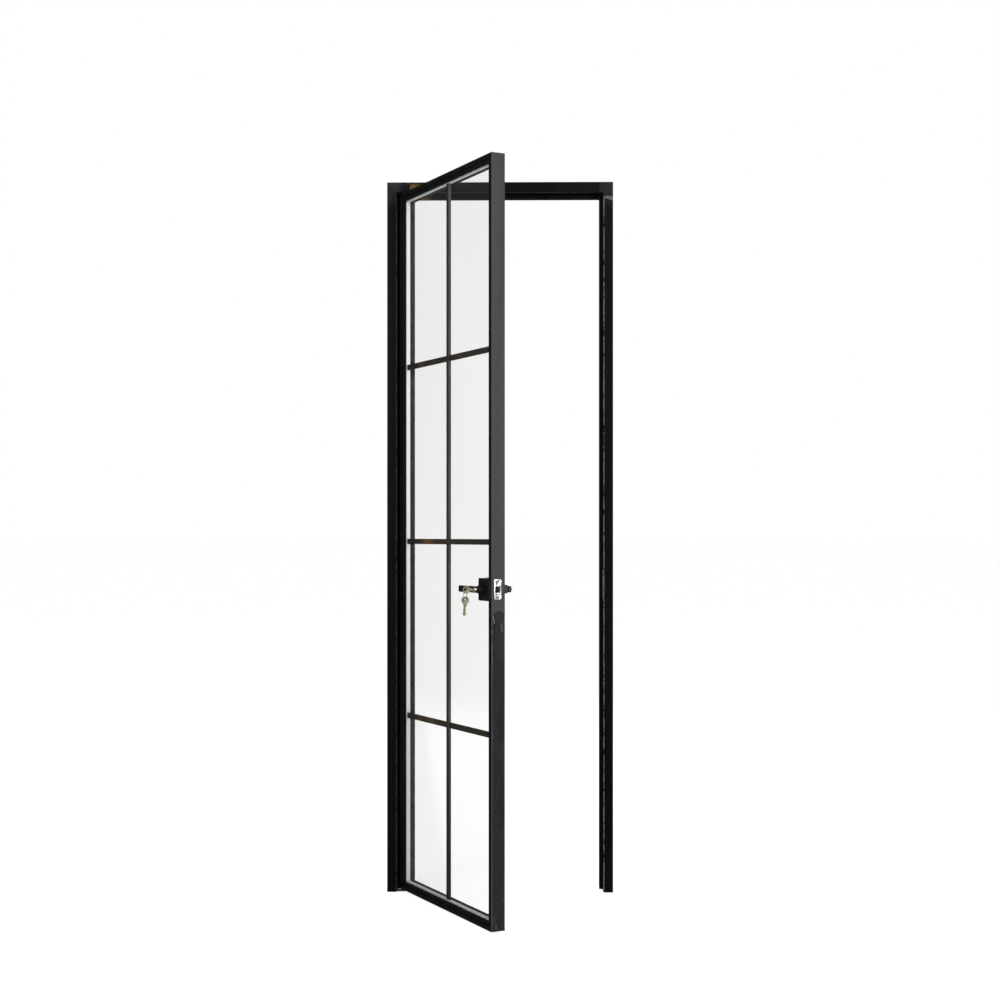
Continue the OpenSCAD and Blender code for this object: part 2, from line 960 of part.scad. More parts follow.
// Rose on the front of the leaf, its back on y = 0
module rose(width)
    difference() {
        translate([lock_x, 0, lock_z])
            rotate([90, 0, 0])
                linear_extrude(rose_t)
                    rounded_square(width, rose_w, 3);
        bore_y(lock_x, lock_z, boss_d + fit, -rose_t - 1, 1);
        bore_y(lock_x, lock_z, 2 * recess_r, -rose_t + 3, 1);
        for (s = [-1, 1])
            bore_y(lock_x, lock_z + s * rose_bolt_z, rose_bolt_d + 0.1, -rose_t + 3, 1);
    }

// Mirrors what is on the front of the leaf to its back
module on_back()
    translate([0, leaf_t, 0])
        mirror([0, 1, 0])
            children();

module front_rose()
    color([0.12, 0.12, 0.12])
        on_leaf()
            rose(rose_w);

module back_rose()
    color([0.12, 0.12, 0.12])
        on_leaf()
            on_back()
                rose(back_rose_w);

module rose_screws()
    color([0.6, 0.6, 0.62])
        on_leaf()
            for (s = [-1, 1])
                bore_y(lock_x, lock_z + s * rose_bolt_z, rose_bolt_d, 3.1 - rose_t, leaf_t + rose_t - 3.1);

module lever_spring()
    color([0.6, 0.6, 0.62])
        on_leaf()
            translate([lock_x, -0.9, lock_z])
                rotate([90, 0, 0])
                    coil(11.6, 1.2, 1.4, 2);

module lever_blank()
    union() {
        translate([lock_x - lever_len, -lever_out, lock_z - lever_h / 2])
            cube([lever_len + lever_grip, bar_t, lever_h]);
        bore_y(lock_x, lock_z, neck_d, -lever_out + bar_t - e, -rose_t - 0.4);
        bore_y(lock_x, lock_z, boss_d, -rose_t - 0.5, -1);
    }

// The lever bar runs this far past the spindle axis toward the leaf edge
lever_grip = 15;
socket_y = -12;

module spindle_socket()
    translate([lock_x - spindle_w / 2 - 0.1, socket_y, lock_z - spindle_w / 2 - 0.1])
        cube([spindle_w + 0.2, 20, spindle_w + 0.2]);

module front_lever()
    color([0.07, 0.07, 0.07])
        on_leaf()
            difference() {
                lever_blank();
                spindle_socket();
                bore_y(lock_x, lock_z, cylinder_d + 0.04, -lever_out - 1, socket_y - 2);
            }

module back_lever()
    color([0.07, 0.07, 0.07])
        on_leaf()
            on_back()
                difference() {
                    lever_blank();
                    spindle_socket();
                    bore_y(lock_x, lock_z, turn_stem_d + fit, -lever_out - 1, socket_y - 2);
                }

module spindle()
    color([0.66, 0.66, 0.68])
        on_leaf()
            translate([lock_x - spindle_w / 2, socket_y + 0.2, lock_z - spindle_w / 2])
                cube([spindle_w, leaf_t - 2 * socket_y - 0.4, spindle_w]);

module key_slot()
    translate([lock_x - slot_w / 2, -nose - 1, lock_z - slot_h / 2])
        cube([slot_w, nose + socket_y - 1.5, slot_h]);

module lock_cylinder()
    color([0.7, 0.7, 0.71])
        on_leaf()
            difference() {
                bore_y(lock_x, lock_z, cylinder_d, -nose, socket_y - 2.1);
                bore_y(lock_x, lock_z, plug_d + fit, -nose - 1, socket_y - 3);
            }

module lock_plug()
    color([0.76, 0.74, 0.68])
        on_leaf()
            difference() {
                bore_y(lock_x, lock_z, plug_d, -nose - 0.3, socket_y - 3.4);
                key_slot();
            }

turn_stem_d = 8;
turn_collar_d = 14;
turn_t = 3;
turn_w = 13;
turn_reach = 9;

module thumb_turn()
    color([0.6, 0.61, 0.62])
        on_leaf()
            on_back()
                union() {
                    bore_y(lock_x, lock_z, turn_stem_d, -lever_out - 1, socket_y - 4);
                    bore_y(lock_x, lock_z, turn_collar_d, -lever_out - 2.3, -lever_out - 0.4);
                    translate([lock_x - turn_t / 2, -lever_out - turn_reach, lock_z - turn_w / 2])
                        cube([turn_t, turn_reach - 1.5, turn_w]);
                }

// ---------- keys ----------

bitting = [1.6, 2.4, 1.2, 2, 1.4];
cut_pitch_share = 7;
cut_flank_share = 22;
blade_h = 7.4;
blade_tip = 3;
bow_neck = 4;
shoulder_h = 10;

// Key in Y and Z with its shoulder at the origin, its blade toward +Y
module key_shape(blade)
    difference() {
        union() {
            translate([-key_t / 2, 0, 0])
                rotate([90, 0, 90])
                    linear_extrude(key_t)
                        union() {
                            translate([-bow_l + bow_d / 2, 0])
                                circle(d = bow_d);
                            translate([-bow_l + bow_d - bow_neck, -shoulder_h / 2])
                                square([bow_l - bow_d + bow_neck, shoulder_h]);
                        }
            translate([-key_t / 2, 0, 0])
                rotate([90, 0, 90])
                    linear_extrude(key_t - 0.2)
                        polygon(concat(
                            [[-1, -blade_h / 2], [blade - blade_tip, -blade_h / 2], [blade, 0], [blade - blade_tip, blade_h / 2]],
                            [
                                for (i = [4:-1:0], k = [1, 0, -1])
                                    let (y = (i + 1) * blade / cut_pitch_share)
                                    [y + k * blade / cut_flank_share, blade_h / 2 - (k == 0 ? bitting[i] : 0)]
                            ],
                            [[-1, blade_h / 2]]
                        ));
        }
        translate([-key_t, -bow_l + hole_in, 0])
            rotate([0, 90, 0])
                cylinder(d = ring_hole, h = 2 * key_t);
    }

ring_y = -key_stand - bow_l + hole_in;
ring_top = lock_z - hang;
ring_bottom = ring_top - ring_d;

module key()
    color([0.78, 0.75, 0.66])
        on_leaf()
            translate([lock_x, -key_stand, lock_z])
                key_shape(blade_len);

module key_ring()
    color([0.75, 0.75, 0.76])
        on_leaf()
            translate([lock_x, ring_y, ring_top - ring_d / 2])
                rotate([90, 0, 0])
                    rotate_extrude()
                        translate([ring_d / 2, 0])
                            circle(d = ring_wire, $fn = 24);

// A spare key hangs blade down, with its hole over the foot of the ring
module hanging_key(side)
    on_leaf()
        translate([lock_x + side * spare_step, ring_y, ring_bottom - hang])
            rotate([-90, 0, 0])
                translate([0, bow_l - hole_in, 0])
                    key_shape(blade_len);

module spare_key_near()
    color([0.76, 0.73, 0.64])
        hanging_key(-1);

module spare_key_far()
    color([0.76, 0.73, 0.64])
        hanging_key(1);

// ---------- protective film ----------

film_t = 0.25;

module edge_film()
    color([0.16, 0.15, 0.17])
        on_leaf()
            translate([x1, 0.5, z0 + 0.5])
                cube([film_t, leaf_t - 1, film_top - z0]);

// ---------- what is drawn ----------

hinge_jamb();
lock_jamb();
head();
frame_corner_cleats();
hinge_seal();
lock_seal();
head_seal();
fixing_caps();
bottom_pivot_arm();
bottom_pivot_pin();
thrust_washer();
top_pivot_block();
top_pivot_pin();
pivot_screws();
strike_plate();
strike_screws();
hinge_stile();
lock_stile();
top_rail();
bottom_rail();
leaf_corner_cleats();
hinge_bead();
lock_bead_lower();
lock_bead_upper();
top_bead();
bottom_bead();
front_gasket();
back_gasket();
front_pane();
back_pane();
spacer_frame();
edge_sealant();
vertical_bar();
lower_bar();
middle_bar();
upper_bar();
setting_blocks();
bottom_pivot_socket();
top_pivot_socket();
lock_box();
latch_case();
latch_faceplate();
faceplate_screws();
front_rose();
back_rose();
rose_screws();
lever_spring();
edge_film();
latch_bolt();
latch_spring();
front_lever();
back_lever();
spindle();
lock_cylinder();
lock_plug();
thumb_turn();
key();
key_ring();
spare_key_near();
spare_key_far();
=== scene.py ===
"""Glazed door leaf standing open in its slim black frame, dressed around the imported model."""
import logging
import math
from dataclasses import dataclass
from enum import Enum
from typing import Callable, Sequence

import bmesh
import bpy
from mathutils import Matrix, Vector


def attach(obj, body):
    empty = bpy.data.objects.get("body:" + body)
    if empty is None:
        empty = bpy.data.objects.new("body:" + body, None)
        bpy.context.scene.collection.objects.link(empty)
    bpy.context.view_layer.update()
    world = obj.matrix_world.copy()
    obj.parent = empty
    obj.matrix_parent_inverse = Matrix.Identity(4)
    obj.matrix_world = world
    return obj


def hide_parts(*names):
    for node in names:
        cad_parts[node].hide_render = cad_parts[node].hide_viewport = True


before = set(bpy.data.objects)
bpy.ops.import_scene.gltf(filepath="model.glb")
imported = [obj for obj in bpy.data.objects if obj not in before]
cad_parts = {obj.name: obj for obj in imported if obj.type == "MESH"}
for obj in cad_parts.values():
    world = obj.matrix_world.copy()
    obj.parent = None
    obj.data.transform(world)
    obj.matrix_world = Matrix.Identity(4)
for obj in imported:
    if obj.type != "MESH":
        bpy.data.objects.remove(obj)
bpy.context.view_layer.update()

LOG = logging.getLogger("door")
MM = 0.001
PER_METRE = 1000
PIVOT = Vector((0.052, 0.008, 0.0))  # the leaf's axis, in metres
OPEN = math.radians(62)  # how far the leaf stands open at rest
Colour = tuple[float, float, float]
Triple = tuple[float, float, float]
Test = Callable[[Vector, Vector], bool]


def srgb(red: int, green: int, blue: int) -> Colour:
    """Turns a screen colour of 0 to 255 into the linear colour a shader takes."""
    def linear(value: float) -> float:
        """Undoes the screen curve of one channel."""
        share = value / 255
        return share / 12.92 if share <= 0.04045 else ((share + 0.055) / 1.055) ** 2.4
    return linear(red), linear(green), linear(blue)


def scaled(colour: Colour, factor: float, lift: float = 0) -> Colour:
    """A lighter or darker shade of a colour."""
    return tuple(min(1.0, channel * factor + lift) for channel in colour)


# ---------- shader nodes ----------


def math_node(operation: str, first: "Sock | float", second: "Sock | float") -> "Sock":
    """Adds a Math node.

    Args:
        operation: the node's operation.
        first: what goes into its first socket.
        second: what goes into its second socket.

    Returns:
        The node's result.
    """
    tree = (first if isinstance(first, Sock) else second).tree
    node = tree.nodes.new("ShaderNodeMath")
    node.operation = operation
    for place, value in enumerate((first, second)):
        if isinstance(value, Sock):
            tree.links.new(value.socket, node.inputs[place])
        else:
            node.inputs[place].default_value = value
    return Sock(tree, node.outputs[0])


def operator(operation: str, swapped: bool = False) -> Callable[["Sock", "Sock | float"], "Sock"]:
    """Makes the method that stands behind an arithmetic sign, with its two sides swapped if asked."""
    def method(self: "Sock", other: "Sock | float") -> "Sock":
        """Adds the Math node of the sign."""
        return math_node(operation, *((other, self) if swapped else (self, other)))
    return method


class Sock:
    """A node socket that ordinary arithmetic can be written on."""

    def __init__(self, tree: bpy.types.NodeTree, socket: bpy.types.NodeSocket) -> None:
        """Wraps a socket of a node tree."""
        self.tree, self.socket = tree, socket

    __add__, __radd__ = operator("ADD"), operator("ADD", True)
    __sub__, __rsub__ = operator("SUBTRACT"), operator("SUBTRACT", True)
    __mul__, __rmul__ = operator("MULTIPLY"), operator("MULTIPLY", True)
    __gt__, __lt__ = operator("GREATER_THAN"), operator("LESS_THAN")
    __pow__, __mod__ = operator("POWER"), operator("FLOORED_MODULO")

    def __abs__(self) -> "Sock":
        """Drops the sign."""
        return math_node("ABSOLUTE", self, 0.0)

    def either(self, other: "Sock") -> "Sock":
        """The greater of two."""
        return math_node("MAXIMUM", self, other)

    def near(self, centre: float, inner: float, outer: float) -> "Sock":
        """One within inner of a centre, falling to zero at outer."""
        return 1 - abs(self - centre).step(inner, outer)

    def step(self, start: float, end: float) -> "Sock":
        """Rises smoothly from zero at start to one at end."""
        node = self.tree.nodes.new("ShaderNodeMapRange")
        node.interpolation_type = "SMOOTHSTEP"
        self.tree.links.new(self.socket, node.inputs[0])
        node.inputs[1].default_value = start
        node.inputs[2].default_value = end
        return Sock(self.tree, node.outputs[0])


class Tree:
    """A node tree that nodes are added to."""

    def __init__(self, tree: bpy.types.NodeTree) -> None:
        """Takes the tree."""
        self.tree = tree

    def add(self, kind: str, settings: dict | None = None, sockets: dict | None = None) -> bpy.types.Node:
        """Adds a node.

        Args:
            kind: the node's type.
            settings: its properties, which are set first.
            sockets: values or Socks by input name or number.

        Returns:
            The node.
        """
        node = self.tree.nodes.new(kind)
        for key, value in (settings or {}).items():
            setattr(node, key, value)
        for key, value in (sockets or {}).items():
            if isinstance(value, Sock):
                self.tree.links.new(value.socket, node.inputs[key])
            else:
                node.inputs[key].default_value = value
        return node

    def out(self, node: bpy.types.Node, key: int | str = 0) -> Sock:
        """Wraps an output of a node."""
        return Sock(self.tree, node.outputs[key])


class Nodes(Tree):
    """The node tree of one material, around its Principled shader."""

    def __init__(self, name: str) -> None:
        """Makes the material and takes its name."""
        self.material = bpy.data.materials.new(name)
        self.material.use_nodes = True
        super().__init__(self.material.node_tree)
        self.shader = self.tree.nodes["Principled BSDF"]
        self.relief_normal: Sock | None = None
        self.place = self.out(self.add("ShaderNodeTexCoord"), "Object")

    def hold(self, **constants: float | Sequence[float]) -> None:
        """Sets shader sockets, whose words are joined by underscores, to constants."""
        for words, value in constants.items():
            self.shader.inputs[words.replace("_", " ")].default_value = value

    def stretched(self, stretch: Triple) -> Sock:
        """Object coordinates, multiplied by stretch."""
        return self.out(self.add("ShaderNodeMapping", None, {"Vector": self.place, "Scale": stretch}))

    def axes(self) -> tuple[Sock, Sock, Sock]:
        """The three object coordinates, in metres."""
        split = self.add("ShaderNodeSeparateXYZ", sockets={0: self.place})
        return self.out(split, 0), self.out(split, 1), self.out(split, 2)

    def leaf_axes(self) -> tuple[Sock, Sock, Sock]:
        """Width, depth and height on the closed leaf, in millimetres, from the leaf's place at rest."""
        across, deep, height = self.axes()
        right, back = across - PIVOT.x, deep - PIVOT.y
        return ((right * math.cos(OPEN) - back * math.sin(OPEN) + PIVOT.x) * PER_METRE,
                (right * math.sin(OPEN) + back * math.cos(OPEN) + PIVOT.y) * PER_METRE,
                height * PER_METRE)

    def noise(self, scale: float, detail: float = 3, roughness: float = 0.5,
              stretch: Triple = (1, 1, 1), warp: float = 0) -> Sock:
        """Cloudy noise from zero to one.

        Args:
            scale: features per metre.
            detail: octaves.
            roughness: weight of the finer octaves.
            stretch: factor on each axis.
            warp: how far it is swirled.

        Returns:
            The noise.
        """
        return self.out(self.add("ShaderNodeTexNoise", None, {
            "Vector": self.stretched(stretch), "Scale": scale, "Detail": detail,
            "Roughness": roughness, "Distortion": warp}))

    def cells(self, scale: float, stretch: Triple = (1, 1, 1)) -> Sock:
        """Distance to the nearest of scattered points, scale of them per metre."""
        return self.out(self.add("ShaderNodeTexVoronoi", None, {
            "Vector": self.stretched(stretch), "Scale": scale}), "Distance")

    def mix(self, mask: Sock, low: "Colour | Sock", high: "Colour | Sock") -> Sock:
        """Blends from one colour to another by a mask."""
        def full(colour: "Colour | Sock") -> "tuple | Sock":
            """Gives a plain colour its alpha."""
            return colour if isinstance(colour, Sock) else (*colour, 1)
        return self.out(self.add("ShaderNodeMix", {"data_type": "RGBA"}, {
            0: mask, 6: full(low), 7: full(high)}), 2)

    def feed(self, name: str, value: Sock) -> None:
        """Links a value into one of the shader's sockets."""
        self.tree.links.new(value.socket, self.shader.inputs[name])

    def relief(self, height: Sock, depth: float, strength: float = 1) -> None:
        """Raises the surface by a height map, on top of earlier ones.

        Args:
            height: the map.
            depth: what a height of one stands for, in metres.
            strength: share of it that shows.
        """
        sockets = {"Height": height, "Distance": depth, "Strength": strength}
        if self.relief_normal is not None:
            sockets["Normal"] = self.relief_normal
        self.relief_normal = self.out(self.add("ShaderNodeBump", None, sockets))
        self.feed("Normal", self.relief_normal)


# ---------- finishes ----------


@dataclass(frozen=True)
class Finish:
    """A surface finish that makes its own material."""
    name: str

    def build(self) -> bpy.types.Material:
        """Makes the material."""
        sheet = Nodes(self.name)
        self.paint(sheet)
        return sheet.material

    def paint(self, sheet: Nodes) -> None:
        """Feeds the shader what varies and holds what doesn't."""
        raise NotImplementedError


@dataclass(frozen=True)
class PowderCoat(Finish):
    """Fine-textured powder coating, its tone drifting a little, with grains of dust, and, where an edge colour
    is given, painted light: a lighter grey on the faces toward the leaf's edge.
    """
    tone: Colour
    roughness: float = 0.6
    gloss: float = 0.06
    dust: float = 0.2
    # lighter grey painted as light on the faces toward the leaf's edge
    edge: Colour | None = None
    painted_light_from: float = 665.6

    def paint(self, sheet: Nodes) -> None:
        """Paints the material."""
        sheet.hold(Specular_IOR_Level=self.gloss)
        patches = sheet.noise(7, 4, 0.6, (1, 1, 0.25))
        grain = sheet.noise(1900, 2, 0.6)
        speckle = sheet.noise(620, 2, 0.5)
        drift = patches.step(0.3, 0.7)
        body = sheet.mix(drift, scaled(self.tone, 0.75), scaled(self.tone, 1.3, 0.002))
        if self.edge:
            # painted light: past a width on the closed leaf, the faces toward its edge take the lighter grey, as
            # where light from the right falls
            width, _, _ = sheet.leaf_axes()
            paler = sheet.mix(drift, self.edge, scaled(self.edge, 1.12))
            body = sheet.mix(width > self.painted_light_from, body, paler)
        dusty = scaled(self.tone, 1.8, 0.012)
        sheet.feed("Base Color", sheet.mix(speckle.step(0.62, 0.8) * self.dust, body, dusty))
        sheet.feed("Roughness", self.roughness + (grain - 0.5) * 0.25 + (patches - 0.5) * 0.12)
        sheet.relief(grain, 0.00006, 0.5)
        sheet.relief(sheet.noise(210, 2), 0.00010, 0.25)


@dataclass(frozen=True)
class FilmedProfile(Finish):
    """Black extrusion under a dark protective film: creases, small blisters, scuff flecks and tape residue, with
    painted highlight along the front inner arris and on the head's soffit strip.
    """
    tone: Colour
    # scuff tone, also on the top corners and as painted highlight on the head's soffit strip
    worn_and_lit: Colour
    # painted highlight along the front inner arris
    arris_highlight: Colour
    residue: Colour
    middle: float = 0.35  # of the opening, in metres, as are the rest
    arris_apart: float = 0.3208
    arris_top: float = 2.15
    soffit: tuple[float, float] = (2.165, 2.1704)
    stain: tuple[float, float] = (0.104, 2.172)
    front_arris: float = 0.012
    front_soffit: float = 0.014
    stain_deep: float = 0.07

    def paint(self, sheet: Nodes) -> None:
        """Paints the material."""
        sheet.hold(Specular_IOR_Level=0.06, Coat_Roughness=0.3, Coat_IOR=1.2)
        clouds = sheet.noise(16, 4, 0.6, (1, 1, 0.12), 0.4)
        streaks = sheet.noise(90, 3, 0.6, (1, 1, 0.05))
        blisters = sheet.cells(55, (1, 1, 0.4))
        flecks = sheet.noise(240, 3, 0.7, (1, 1, 0.5)).step(0.66, 0.75) * clouds.step(0.45, 0.65)
        broken = sheet.noise(38, 4, 0.75, (1, 1, 0.8))
        across, deep, height = sheet.axes()
        apart = abs(across - self.middle)
        body = sheet.mix(clouds.step(0.3, 0.75), self.tone, scaled(self.tone, 1.9))
        corner = height.step(2.11, 2.17) * apart.step(0.300, 0.318)
        body = sheet.mix(corner * 0.5, body, self.worn_and_lit)
        # painted highlight: a light line along the rounded front inner arris, broken into patches and stronger
        # toward the lock jamb
        arris = apart.near(self.arris_apart, 0.0012, 0.0034) * (height < self.arris_top)
        arris = arris * (deep < self.front_arris) * broken.step(0.38, 0.56)
        body = sheet.mix(arris * (0.25 + across.step(0.2, 0.5) * 0.75), body, self.arris_highlight)
        # painted highlight: a light strip on the head's soffit just behind its front face
        soffit = (height > self.soffit[0]) * (height < self.soffit[1]) * (deep < self.front_soffit)
        body = sheet.mix(soffit * (apart < 0.32) * 0.9, body, self.worn_and_lit)
        smear = sheet.noise(60, 3, 0.6) - 0.5
        stain = 1 - (abs(across - self.stain[0]) + smear * 0.04).step(0.016, 0.036)
        stain = stain * (1 - (abs(height - self.stain[1]) + smear * 0.03).step(0.010, 0.026))
        stain = stain * (deep < self.stain_deep)
        body = sheet.mix(stain * broken.step(0.32, 0.5), body, self.residue)
        sheet.feed("Base Color", sheet.mix(flecks * 0.45, body, self.worn_and_lit))
        sheet.feed("Roughness", 0.42 + streaks * 0.25 + flecks * 0.2)
        sheet.feed("Coat Weight", 0.1 + clouds * 0.2)
        sheet.relief(streaks, 0.00025, 0.35)
        sheet.relief(1 - blisters.step(0, 0.28), 0.0002, 0.2)


@dataclass(frozen=True)
class Metal(Finish):
    """Bare metal with the fine lines of brushing or drawing along one axis."""
    tone: Colour
    roughness: float
    lines: Triple = (1, 1, 0.03)
    polish: float = 0.0
    bare: float = 1.0

    def paint(self, sheet: Nodes) -> None:
        """Paints the material."""
        sheet.hold(Metallic=self.bare)
        brush = sheet.noise(2600, 2, 0.6, self.lines)
        cloud = sheet.noise(60, 3, 0.6)
        worked = (brush * 0.5 + cloud * 0.5).step(0.3, 0.7)
        sheet.feed("Base Color", sheet.mix(worked, scaled(self.tone, 0.72), self.tone))
        sheet.feed("Roughness", self.roughness + (brush - 0.5) * (0.3 - 0.2 * self.polish)
                   + (cloud - 0.5) * 0.12)
        sheet.relief(brush, 0.00002, 0.5 - 0.4 * self.polish)


@dataclass(frozen=True)
class Rubber(Finish):
    """Extruded black rubber, matt, with faint draw lines and a bloom of dust."""
    tone: Colour
    bloom: Colour

    def paint(self, sheet: Nodes) -> None:
        """Paints the material."""
        sheet.hold(Specular_IOR_Level=0.1)
        dust = sheet.noise(45, 4, 0.65)
        lines = sheet.noise(900, 2, 0.5, (1, 1, 0.02))
        sheet.feed("Base Color", sheet.mix(dust.step(0.45, 0.8) * 0.5, self.tone, self.bloom))
        sheet.feed("Roughness", 0.62 + dust * 0.25)
        sheet.relief(lines, 0.00006, 0.4)


@dataclass(frozen=True)
class Moulding(Finish):
    """Moulded plastic with a spark-eroded grain."""
    tone: Colour
    roughness: float = 0.45

    def paint(self, sheet: Nodes) -> None:
        """Paints the material."""
        sheet.hold(Specular_IOR_Level=0.25)
        grain = sheet.noise(1500, 2, 0.6)
        cloud = sheet.noise(80, 3, 0.5)
        sheet.feed("Base Color", sheet.mix(cloud.step(0.3, 0.7), scaled(self.tone, 0.78), self.tone))
        sheet.feed("Roughness", self.roughness + (grain - 0.5) * 0.3)
        sheet.relief(grain, 0.00004, 0.5)


@dataclass(frozen=True)
class BarCoat(Finish):
    """Painted glazing bar: dark brown faces, a lighter olive painted as light on the vertical bar's right flank,
    painted shade darkening the vertical bar, and the bars where they meet it, toward the bottom, and a painted
    amber glow.
    """
    face: Colour
    # lighter olive painted as light on the vertical bar's right flank
    lit_flank: Colour
    amber: Colour
    half: float = 7.2  # of the vertical bar's width, in millimetres
    middle: float = 350.0
    reach: float = 12.0
    glow: float = 190.0
    shade: tuple[float, float] = (250.0, 620.0)

    def paint(self, sheet: Nodes) -> None:
        """Paints the material."""
        sheet.hold(Specular_IOR_Level=0.1)
        width, _, height = sheet.leaf_axes()
        drift = sheet.noise(5, 3, 0.6)
        grain = sheet.noise(1500, 2, 0.6)
        # painted light: the vertical bar's right flank, which faces the light, takes the olive
        upright = (width > self.middle + self.half) * (width < self.middle + 9)
        body = sheet.mix(drift.step(0.35, 0.65), self.face, scaled(self.face, 1.6))
        side = sheet.mix(drift.step(0.4, 0.6), self.lit_flank, scaled(self.lit_flank, 0.6))
        body = sheet.mix(upright, body, side)
        # painted amber glow over the bars around the glow width
        glow = width.near(self.glow, 20, 90) * sheet.noise(9, 2, 0.5).step(0.42, 0.6)
        shade = (1 - height.step(*self.shade)) * 0.7
        body = sheet.mix(shade * (abs(width - self.middle) < self.reach), body, scaled(self.face, 0.35))
        sheet.feed("Base Color", sheet.mix(glow, body, self.amber))
        sheet.feed("Roughness", 0.5 + (grain - 0.5) * 0.3)
        sheet.relief(grain, 0.00005, 0.5)


@dataclass(frozen=True)
class FloatGlass(Finish):
    """Clear float glass: it shows what is behind it, mirrors more at a flat angle, mirrors more toward the top
    as painted shade, and has faint diagonal streaks.
    """
    tint: tuple[float, float, float, float]
    veil: float = 0.016
    # extra mirror share toward the top: painted shade that darkens the upper glass
    painted_top_darkening: float = 0.010
    band: tuple[float, float] = (2350.0, 2790.0)
    wedge: float = 1005.0
    wedge_top: float = 560.0

    def paint(self, sheet: Nodes) -> None:
        """Paints the material."""
        sheet.hold(Metallic=1.0, Roughness=0.008)
        sheet.feed("Base Color", sheet.mix(sheet.noise(30, 2), (0.9, 0.92, 0.92), (0.96, 0.97, 0.97)))
        width, _, height = sheet.leaf_axes()
        slant = height + width * 2.0
        band = (slant > self.band[0]) * (slant < self.band[1]) * 0.0025
        wedge = (1 - (height + width * 2.6 > self.wedge)) * (height < self.wedge_top) * 0.022
        haze = (sheet.noise(2.2, 2, 0.5, (1, 1, 0.6), 0.8) - 0.5) * 0.004
        facing = sheet.out(sheet.add("ShaderNodeLayerWeight", None, {0: 0.5}), "Facing")
        # painted shade: a larger mirror share darkens the glass toward its top
        veil = self.veil + height.step(700, 2200) * self.painted_top_darkening
        mirror = (facing ** 5) * 0.3 + veil - band + wedge + haze
        clear = sheet.add("ShaderNodeBsdfTransparent", None, {0: self.tint})
        blend = sheet.add("ShaderNodeMixShader", None, {
            0: mirror, 1: sheet.out(clear), 2: sheet.out(sheet.shader)})
        sheet.tree.links.new(blend.outputs[0], sheet.tree.nodes["Material Output"].inputs[0])


@dataclass(frozen=True)
class Spacer(Finish):
    """Roll-formed aluminium spacer with two rows of breathing holes down its face."""
    tone: Colour
    hole: float = 0.0005
    pitch: float = 0.004

    def paint(self, sheet: Nodes) -> None:
        """Paints the material."""
        sheet.hold(Metallic=0.25, Specular_IOR_Level=0.6)
        _, _, height = sheet.axes()
        apart = abs((height % self.pitch) - self.pitch / 2)
        dots = (apart < self.hole) * (sheet.noise(300, 1) > 0.35)
        brush = sheet.noise(1800, 2, 0.6, (1, 1, 0.03))
        body = sheet.mix(brush.step(0.3, 0.7), scaled(self.tone, 0.82), self.tone)
        sheet.feed("Base Color", sheet.mix(dots * 0.35, body, (0.12, 0.12, 0.12)))
        sheet.feed("Roughness", 0.42 + (brush - 0.5) * 0.2)
        sheet.relief(brush, 0.00002, 0.4)
        sheet.relief(1 - dots, 0.0001, 0.3)


@dataclass(frozen=True)
class ClingFilm(Finish):
    """Loose dark protective film, creased and scuffed, pale along its edges and curled top, with painted
    highlight on its crumpled foot.
    """
    tone: Colour
    scuff: Colour
    scuffed: float = 0.3
    # pale tone for the rims, rub and curled top, and for the painted highlight on the crumpled foot
    rim: Colour | None = None
    top: float = 898.0
    turned_up: float = 862.0
    rub: float = 848.0

    def paint(self, sheet: Nodes) -> None:
        """Paints the material."""
        sheet.hold(Specular_IOR_Level=0.12, Coat_Roughness=0.25, Coat_IOR=1.25)
        clouds = sheet.noise(20, 4, 0.6, (1, 1, 0.3), 0.5)
        creases = sheet.noise(70, 4, 0.65, (1, 1, 0.35), 1.2)
        marks = sheet.noise(260, 3, 0.7, (1, 1, 0.35)).step(0.62, 0.72) * clouds.step(0.42, 0.6)
        body = sheet.mix(clouds.step(0.3, 0.7), scaled(self.tone, 0.6), self.tone)
        body = sheet.mix(marks * self.scuffed, body, self.scuff)
        if self.rim:
            _, along, height = sheet.leaf_axes()
            wave = (sheet.noise(34, 3, 0.6, (0, 0, 1)) - 0.5) * 5
            front = 1 - (along - 1.6 + wave).step(0.0, 2.2)
            back = (along + wave * 0.4).step(38.4, 40.4) * 0.35
            fresh = height.step(700, 900)
            ridge = (along + (height - self.top) * 0.19).near(1.6, 0.6, 2.0) * (height > self.turned_up)
            lower = (along + wave * 0.3).near(2.4, 0.3, 1.8) * (height < self.turned_up)
            ridge = ridge + lower * fresh * 0.5
            rub = (along + (height - self.rub) * 0.12).near(32, 0.5, 2.5) * height.near(self.rub, 8, 17)
            # painted highlight on the crumpled film at the foot
            foot = (1 - height.step(14, 60)) * creases.step(0.52, 0.62) * (1 - along.step(10, 24))
            worn_and_lit = (front * (0.35 + fresh * 0.5) + back) * (0.4 + clouds)
            worn_and_lit = worn_and_lit + ridge * 0.85 + rub * 0.4 + foot * 0.5
            body = sheet.mix(worn_and_lit.step(0, 1), body, self.rim)
        sheet.feed("Base Color", body)
        sheet.feed("Roughness", 0.35 + creases * 0.3)
        sheet.feed("Coat Weight", 0.1 + clouds * 0.2)
        sheet.relief(creases, 0.0006, 0.5)


ALONG_X: Triple = (0.03, 1, 1)

